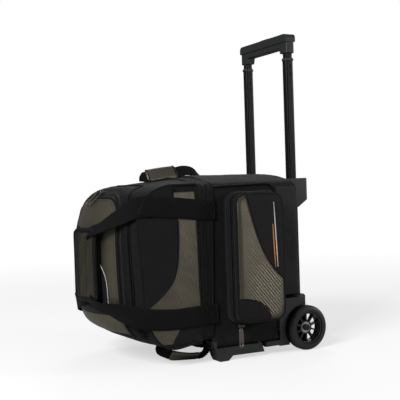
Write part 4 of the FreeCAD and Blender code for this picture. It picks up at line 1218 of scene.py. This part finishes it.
def ribbon(name, path, outs, width, thickness, pitch=4.2, step=0.75, widths=None):
    """Webbing whose cross ribs stand out of its faces; widths scales it at each point of the path."""
    if widths is None:
        widths = np.ones((len(path), 1))
    path, outs, widths = evenly(path, step, False, outs, widths)
    phase = np.arange(len(path)) * step * TAU / pitch
    swell = np.stack([widths[:, 0] + 0.006 * np.sin(phase), 1 + 0.3 * np.sin(phase)], 1)
    return sweep(name, path, unit(outs), band_section(width, thickness, 0.0, 7), webbing, swell=swell)


def strap_run(name, front_places, rear_heights, sign):
    """One run of a carry strap: sewn behind the gusset, along the side, and twisting into the wrap.
    front_places are (across, along, up, width) and the three parts of the way out."""
    side = HALF + 3.4
    rear = rear_seam(200) + 8
    behind, at_seam, midway = rear_heights
    places = [(side - 1.2, rear, behind, 1, 1, 0, 0), (side - 0.4, rear - 12, behind, 1, 1, 0, 0),
              (side, REAR, at_seam, 1, 1, 0, 0), (side, REAR - 55, midway, 1, 1, 0, 0.04)]
    places = np.array(places) * np.array([sign, 1, 1, 1, sign, 1, 1])
    places = np.vstack([places, front_places])
    path = spline(places[:, :3], 10)
    outs = unit(spline(places[:, 4:], 10))
    return ribbon(name, path, outs, 39.0, 1.7, widths=spline(places[:, 3:4], 10))


# Where each run leaves the side of the bag, crosses the nose and enters the wrap.
UPPER_NEAR = [(141, -150, 305, 1, 1, 0, 0.1), (131, -173, 300, 1, 0.85, -0.5, 0.3),
              (105, -194, 284, 0.95, 0.55, -0.65, 0.6), (76, -217, 267, 0.85, 0.25, -0.65, 0.75),
              (52, -228, 259, 0.75, 0, -0.8, 0.6), (41, -224.5, 243, 0.66, 0.26, -1, 0.1),
              (40, -224.5, 205, 0.66, 0.26, -1, 0)]
LOWER_NEAR = [(141, -152, 98, 1, 1, 0, 0), (128, -180, 106, 1, 0.75, -0.65, -0.1),
              (102, -200, 113, 0.9, 0.5, -0.75, -0.4), (76, -215, 119, 0.75, 0.2, -0.75, -0.65),
              (52, -228, 130, 0.65, 0, -0.9, -0.45), (41, -224.5, 150, 0.62, 0.26, -1, 0),
              (40, -224.5, 185, 0.66, 0.26, -1, 0)]
UPPER_FAR = [(-141, -146, 298, 1, -1, 0, 0.1), (-132, -169, 288, 0.95, -0.8, -0.5, 0.1),
             (-104, -190.5, 270, 0.85, -0.5, -0.85, 0.1), (-60, -213, 257, 0.7, -0.2, -0.95, 0.2),
             (-18, -223, 254, 0.65, 0, -0.95, 0.2), (12, -226, 251, 0.65, 0, -0.95, 0.2),
             (34, -226.5, 243, 0.65, 0, -1, 0.1), (38, -225.5, 210, 0.7, 0, -1, 0)]
LOWER_FAR = [(-141, -152, 97, 1, -1, 0, 0), (-128, -180, 103, 1, -0.75, -0.65, 0),
             (-102, -202, 110, 0.9, -0.4, -0.9, -0.1), (-60, -215, 117, 0.8, -0.2, -0.95, -0.3),
             (-18, -226, 123, 0.65, 0, -0.9, -0.45), (12, -228, 131, 0.6, 0, -0.95, -0.3),
             (34, -226.5, 150, 0.6, 0, -1, 0), (38, -225.5, 185, 0.7, 0, -1, 0)]


def build_straps():
    low = box("right_carry_strap")[0][2]
    high = box("right_carry_strap")[1][2]
    heights = (high - 21, high - 19, high - 13), (low + 20, low + 18.5, low + 17.5)
    for (side, sign), upper_places, lower_places in zip(SIDES, (UPPER_NEAR, UPPER_FAR),
                                                        (LOWER_NEAR, LOWER_FAR)):
        upper = strap_run("upper", upper_places, heights[0], sign)
        lower = strap_run("lower", lower_places, heights[1], sign)
        strap = merge(side + "_carry_webbing", [upper, lower])
        add(strap, "bag", "black_webbing", side + "_carry_strap")
        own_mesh(strap)
        for name, height in (("upper", heights[0][0]), ("lower", heights[1][0])):
            box_stitch(f"{side}_{name}_strap_tack", height, sign)


def box_stitch(name, height, sign):
    """The crossed square of stitches that holds a strap's end."""
    y0, y1 = rear_seam(200) + 5, rear_seam(200) - 17
    z0, z1 = height - 15, height + 15
    corners = [(y0, z0), (y1, z0), (y1, z1), (y0, z1), (y0, z0), (y1, z1), (y1, z0), (y0, z1)]
    path = evenly([(sign * (HALF + 3.7), y, z) for y, z in corners], 2.0)
    outs = np.broadcast_to(ACROSS * sign, path.shape)
    add(beads(name, path, outs, 3.6, (1.3, 0.35, 0.4), thread), "bag", "black_webbing")


WRAP_MIDDLE = 40.0   # how far to the right the wrap hangs
WRAP_TURN = 0.26   # slope of its face across the bag


def wrap_outline(half, low, high, corner, step=4.0):
    """A rounded outline about the wrap's middle, as (across, up) points."""
    return evenly(rounded_box((-half, low), (half, high), corner), step, True) + [WRAP_MIDDLE, 0]


def build_wraps():
    """Two padded halves of the carry wrap, lying along the nose, each with a bound vinyl face."""
    for side, half, near, far, cap in (("right", 34.0, 8.5, 14.0, 3.0), ("left", 31.0, 3.0, 5.2, 1.2)):
        low, high = box(side + "_wrap_pad")

        def bent(x, z, gap):
            return (x, nose_y(WRAP_MIDDLE, 190) + WRAP_TURN * (x - WRAP_MIDDLE) - gap, z)

        block = pad(side + "_wrap_pad_cloth", wrap_outline(half, low[2] + 3, high[2] - 3, 13), near, far,
                    bent, ALONG, black_cloth, voxel=4.0, cap=cap, pressure=3.0)
        add(block, "bag", "black_fabric", side + "_wrap_pad")
        skin = Skin(block)
        pieces = [block] + wrap_face(side, skin, half, low, high)
        for piece in pieces:
            if piece is not block:
                add(piece, "bag", "bronze_vinyl" if "face" in piece.name else "black_fabric")
            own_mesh(piece)


def wrap_face(side, skin, half, low, high):
    """Binding, ribbed vinyl and stitching on the front of one half of the wrap."""
    outline = wrap_outline(half - 2.5, low[2] + 6, high[2] - 6, 10, 3.0)
    path = np.array([(x, low[1], z) for x, z in outline])
    ring, normals = skin.lay(path, ALONG, 0.4)
    pieces = [sweep(side + "_wrap_binding", ring, normals, band_section(9, 2.6, 1.2), piping_cloth,
                    closed=True)]
    levels = np.linspace(low[2] + 13, high[2] - 13, 190)
    across = np.linspace(-half + 21, half - 4, 90)
    face = np.insert(grid(across + WRAP_MIDDLE, levels), 1, low[1], 2)
    face, normals = skin.lay(face, ALONG, 0.9)
    groove = np.exp(-((face[..., 0] - WRAP_MIDDLE - 6) / 1.6) ** 2)
    face = rib(face, normals, (1, 0, -0.9), 5.0, 0.36) - normals * (groove * 0.9)[..., None]
    pieces.append(sheet(side + "_wrap_face", face, normals, 1.4, wrap_vinyl))
    for name, place in (("middle", 6.0), ("outer", half - 10), ("inner", 23 - half)):
        line = np.array([(place + WRAP_MIDDLE, low[1], z)
                         for z in np.linspace(low[2] + 11, high[2] - 11, 60)])
        line, normals = skin.lay(line, ALONG, 0.7)
        pieces.append(beads(f"{side}_wrap_{name}_stitches", line, normals, 4.6, (1.6, 0.4, 0.4), thread))
    return pieces


def handle_arch(places, tips, way):
    """A handle's curve, and the ways out of its webbing: up or down as way says, leaning by tips."""
    curve = spline(places, 14)
    lean = spline([(tip, 0) for tip in tips], 14)[:, 0]
    flat = unit(np.cross(directions(curve), ACROSS))
    flat = flat * way * np.sign(flat[len(flat) // 2, 2])
    return curve, flat * np.cos(lean)[:, None] + ACROSS * np.sin(lean)[:, None]


def handle_wrap(name, body, node, curve, outs, half, rise):
    """The padded vinyl round a stretch of a handle's webbing, drawn in a little at its ends."""
    path, outs = evenly(curve, 1.5, False, outs)
    share = np.linspace(0, 1, len(path))
    ends = 0.86 + 0.14 * np.minimum(1, np.minimum(share, 1 - share) * 14)
    wrap = sweep(name, path, outs, lens_section(half, rise), handle_vinyl, swell=np.stack([ends, ends], 1))
    add(wrap, body, "bronze_vinyl", node)
    return path, outs


def build_top_handle():
    """A webbing arch that has tipped on its edge under its padded wrap."""
    low, high = box("top_handle_strap")
    grip_low, grip_high = box("top_handle_grip")
    places = [(0, high[1] + 1, low[2] + 1.5), (0, high[1] - 8, low[2] + 5.0),
              (1, high[1] - 22, high[2] - 8),
              (3, high[1] - 40, high[2] - 6), (4, grip_high[1] - 7, high[2] - 9),
              (5, (grip_low[1] + grip_high[1]) / 2 - 10, high[2] - 12),
              (4, grip_low[1] - 10, high[2] - 16),
              (1, grip_low[1] - 15, low[2] + 1.8), (0, grip_low[1] - 15.5, low[2] - 7)]
    tips = [0.1, 0.6, 0.95, 1.05, 1.1, 1.05, 0.95, 0.8, 0.8]
    curve, outs = handle_arch(places, tips, 1)
    strap = ribbon("top_handle_webbing", curve, outs, 24.0, 2.0)
    sewn_between(strap, "top_handle", "black_webbing", low[2] + 1, low[2] + 11, "top_handle_strap")
    inside = (curve[:, 1] > grip_low[1] - 13) & (curve[:, 1] < grip_high[1] - 7)
    path, ups = handle_wrap("top_handle_wrap", "top_handle", "top_handle_grip", curve[inside],
                            outs[inside], 15.0, 5.4)
    sides = unit(np.cross(directions(path), ups))
    for name, place in (("front", 2), ("rear", -3)):
        across = path[place]
        ring = np.array([across + sides[place] * 15.0 * math.cos(a) + ups[place] * 5.6 * math.sin(a)
                         for a in np.linspace(0, TAU, 24, endpoint=False)])
        around = unit(ring - across)
        binding = sweep(f"top_handle_{name}_binding", ring, around, round_section(1.2, 8), piping_cloth,
                        closed=True)
        add(binding, "top_handle", "black_fabric")
    seam = path + ups * 5.2 + sides * 1.0
    add(beads("top_handle_stitches", seam, ups, 4.4, (1.5, 0.35, 0.35), thread), "top_handle", "bronze_vinyl")


def lens_section(half, rise, count=20):
    """A padded oval, flatter than a circle."""
    section = []
    for k in range(count):
        angle = TAU * k / count
        c, s = math.cos(angle), math.sin(angle)
        section.append((half * math.copysign(abs(c) ** 0.7, c), rise * math.copysign(abs(s) ** 0.8, s)))
    return section


def build_bottom_handle():
    """The underside's webbing loop, which splays out towards the near side under its wrap."""
    low, high = box("bottom_handle_strap")
    wrap_low, wrap_high = box("bottom_handle_wrap")
    x = (low[0] + high[0]) / 2
    base = wrap_low[2] + 6.3
    front, rear = wrap_low[1], wrap_high[1]
    places = [(x - 8, low[1] + 2, high[2] + 5), (x - 2, low[1] - 2, high[2] - 6),
              (x + 3, front - 7, base + 9.5), (x + 7, front + 4, base + 5),
              (x + 10, (front + rear) / 2, base + 2), (x + 13, rear - 3, base + 0.7),
              (x + 14, rear + 13, base + 1.7), (x + 11, high[1] + 9, base + 11.5),
              (x + 4, high[1] + 5, high[2] - 1), (x - 8, high[1] - 8, high[2] + 5)]
    tips = [0.5, 0.8, 0.8, 0.7, 0.55, 0.5, 0.8, 1.1, 1.2, 1.2]
    curve, outs = handle_arch(places, tips, -1)
    strap = ribbon("bottom_handle_webbing", curve, outs, 27.0, 3.2)
    sewn_between(strap, "bottom_handle", "black_webbing", high[2] - 1, high[2] - 11, "bottom_handle_strap")
    count = len(curve)
    inside = slice(round(count * 0.27), round(count * 0.6))
    handle_wrap("bottom_handle_wrap_cloth", "bottom_handle", "bottom_handle_wrap", curve[inside],
                outs[inside], 14.5, 4.6)


# ---------------------------------------------------------------- hard parts

def build_spring():
    """The coil under the button."""
    low, high = box("button_spring")
    wire, turns, travel = 0.5, 6, 4.0
    share = np.linspace(0, 1, 180)
    angle = share * TAU * turns
    outs = np.stack([np.cos(angle), np.sin(angle), np.zeros(180)], 1)
    path = (low + high) / 2 + outs * ((high[0] - low[0]) / 2 - wire)
    path[:, 2] = low[2] + wire + share * (high[2] - low[2] - 2 * wire)
    spring = sweep("button_spring_coil", path, outs, round_section(wire, 8), steel)
    add(spring, "inner_stage", "steel", "button_spring")
    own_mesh(spring)


def dress_frame():
    """Give every CAD node that stays in sight its finish."""
    finishes = {
        moulded: ["handle_housing", "tube_bracket", "right_wheel_housing", "left_wheel_housing",
                  "right_front_foot", "left_front_foot", "grip_lower", "grip_upper", "release_yoke",
                  "middle_collars"],
        gloss: ["push_button"],
        tube_metal: ["outer_tubes", "right_middle_tube", "left_middle_tube", "right_inner_tube",
                     "left_inner_tube"],
        tyre: ["right_tyre", "left_tyre"],
        rim_plastic: ["right_rim", "left_rim"],
        dark_steel: ["axle_bolts"],
        steel: ["right_bearings", "left_bearings", "axle_nuts", "axle_washers", "base_screws",
                "frame_screws", "grip_screws", "lock_pins"],
        board: ["base_board", "back_board"],
        foam: ["ball_cup_foam"],
    }
    for material, names in finishes.items():
        for name in names:
            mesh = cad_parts[name].data
            mesh.materials.clear()
            mesh.materials.append(material)


# ---------------------------------------------------------------- studio

def floor_material():
    """Pale floor that takes soft shadows near the bag and fades into the backdrop further off."""
    recipe = Recipe("floor_paint", (0.5, 0.5, 0.5), 0.8, gloss=0.0)
    seen = recipe.node("LightPath").outputs["Is Camera Ray"]
    distance = recipe.node("VectorMath", recipe.place, operation="LENGTH").outputs["Value"]
    fade = recipe.node("MapRange", distance, 0.7, 2.4, 0.0, 1.0, interpolation_type="SMOOTHSTEP").outputs[0]
    recipe.tint(recipe.mottle(900), 0.02)
    near = recipe.node("Emission", (1, 1, 1, 1), recipe.maths("MULTIPLY", seen, 0.6))
    far = recipe.node("Emission", (1, 1, 1, 1), seen)
    lit = recipe.node("AddShader", recipe.shader.outputs[0], near.outputs[0])
    mixed = recipe.node("MixShader", fade, lit.outputs[0], far.outputs[0])
    recipe.feed(recipe.tree.nodes["Material Output"].inputs["Surface"], mixed.outputs[0])
    return recipe.material


def studio():
    """White backdrop, pale floor and three soft lamps; the backdrop lights the bag only weakly."""
    reach = 9000
    corners = [(-reach, -reach, 0), (reach, -reach, 0), (reach, reach, 0), (-reach, reach, 0)]
    new_piece("studio_floor", corners, [(0, 1, 2, 3)], floor_material())
    world = bpy.data.worlds.new("studio")
    world.use_nodes = True
    tree = world.node_tree
    background = tree.nodes["Background"]
    background.inputs["Color"].default_value = (1, 1, 1, 1)
    seen = tree.nodes.new("ShaderNodeLightPath").outputs["Is Camera Ray"]
    strength = tree.nodes.new("ShaderNodeMapRange")
    strength.inputs["To Min"].default_value = 0.2
    strength.inputs["To Max"].default_value = 1.0
    tree.links.new(seen, strength.inputs["Value"])
    tree.links.new(strength.outputs[0], background.inputs["Strength"])
    bpy.context.scene.world = world
    for name, place, size, power in (("key", (1.3, -2.3, 1.9), 1.0, 72), ("fill", (1.5, 2.2, 0.8), 0.5, 17),
                                     ("back", (-2.0, 1.2, 2.2), 1.2, 13)):
        light = bpy.data.lights.new(name, "AREA")
        light.size = size
        light.energy = power
        lamp = bpy.data.objects.new(name, light)
        lamp.location = place
        aim = Vector((0, 0, 0.25)) - Vector(place)
        lamp.rotation_euler = aim.to_track_quat("-Z", "Y").to_euler()
        bpy.context.scene.collection.objects.link(lamp)
    bpy.context.scene.view_settings.view_transform = "Standard"


def camera():
    """From the right and a little ahead, level with the bag, tilted slightly as a hand-held view is."""
    azimuth, pitch, roll = math.radians(62.02), math.radians(1.03), math.radians(-1.86)
    forward = Vector((-math.sin(azimuth) * math.cos(pitch), math.cos(azimuth) * math.cos(pitch),
                      -math.sin(pitch)))
    right = Vector((math.cos(azimuth), math.sin(azimuth), 0))
    up = right.cross(forward)
    x_axis = right * math.cos(roll) + up * math.sin(roll)
    y_axis = up * math.cos(roll) - right * math.sin(roll)
    lens = bpy.data.cameras.new("camera")
    lens.lens = 71.6
    lens.sensor_width = 36
    view = bpy.data.objects.new("camera", lens)
    place = Matrix((x_axis, y_axis, -forward)).transposed().to_4x4()
    place.translation = (1.4677, -0.7413, 0.3397)
    view.matrix_world = place
    bpy.context.scene.collection.objects.link(view)
    bpy.context.scene.camera = view


build_front_section()
build_door()
build_door_hinge()
build_gusset()
build_body()
build_body_trim()
build_pockets()
build_pull_pair()
build_straps()
build_wraps()
build_top_handle()
build_bottom_handle()
build_spring()
dress_frame()
studio()
camera()
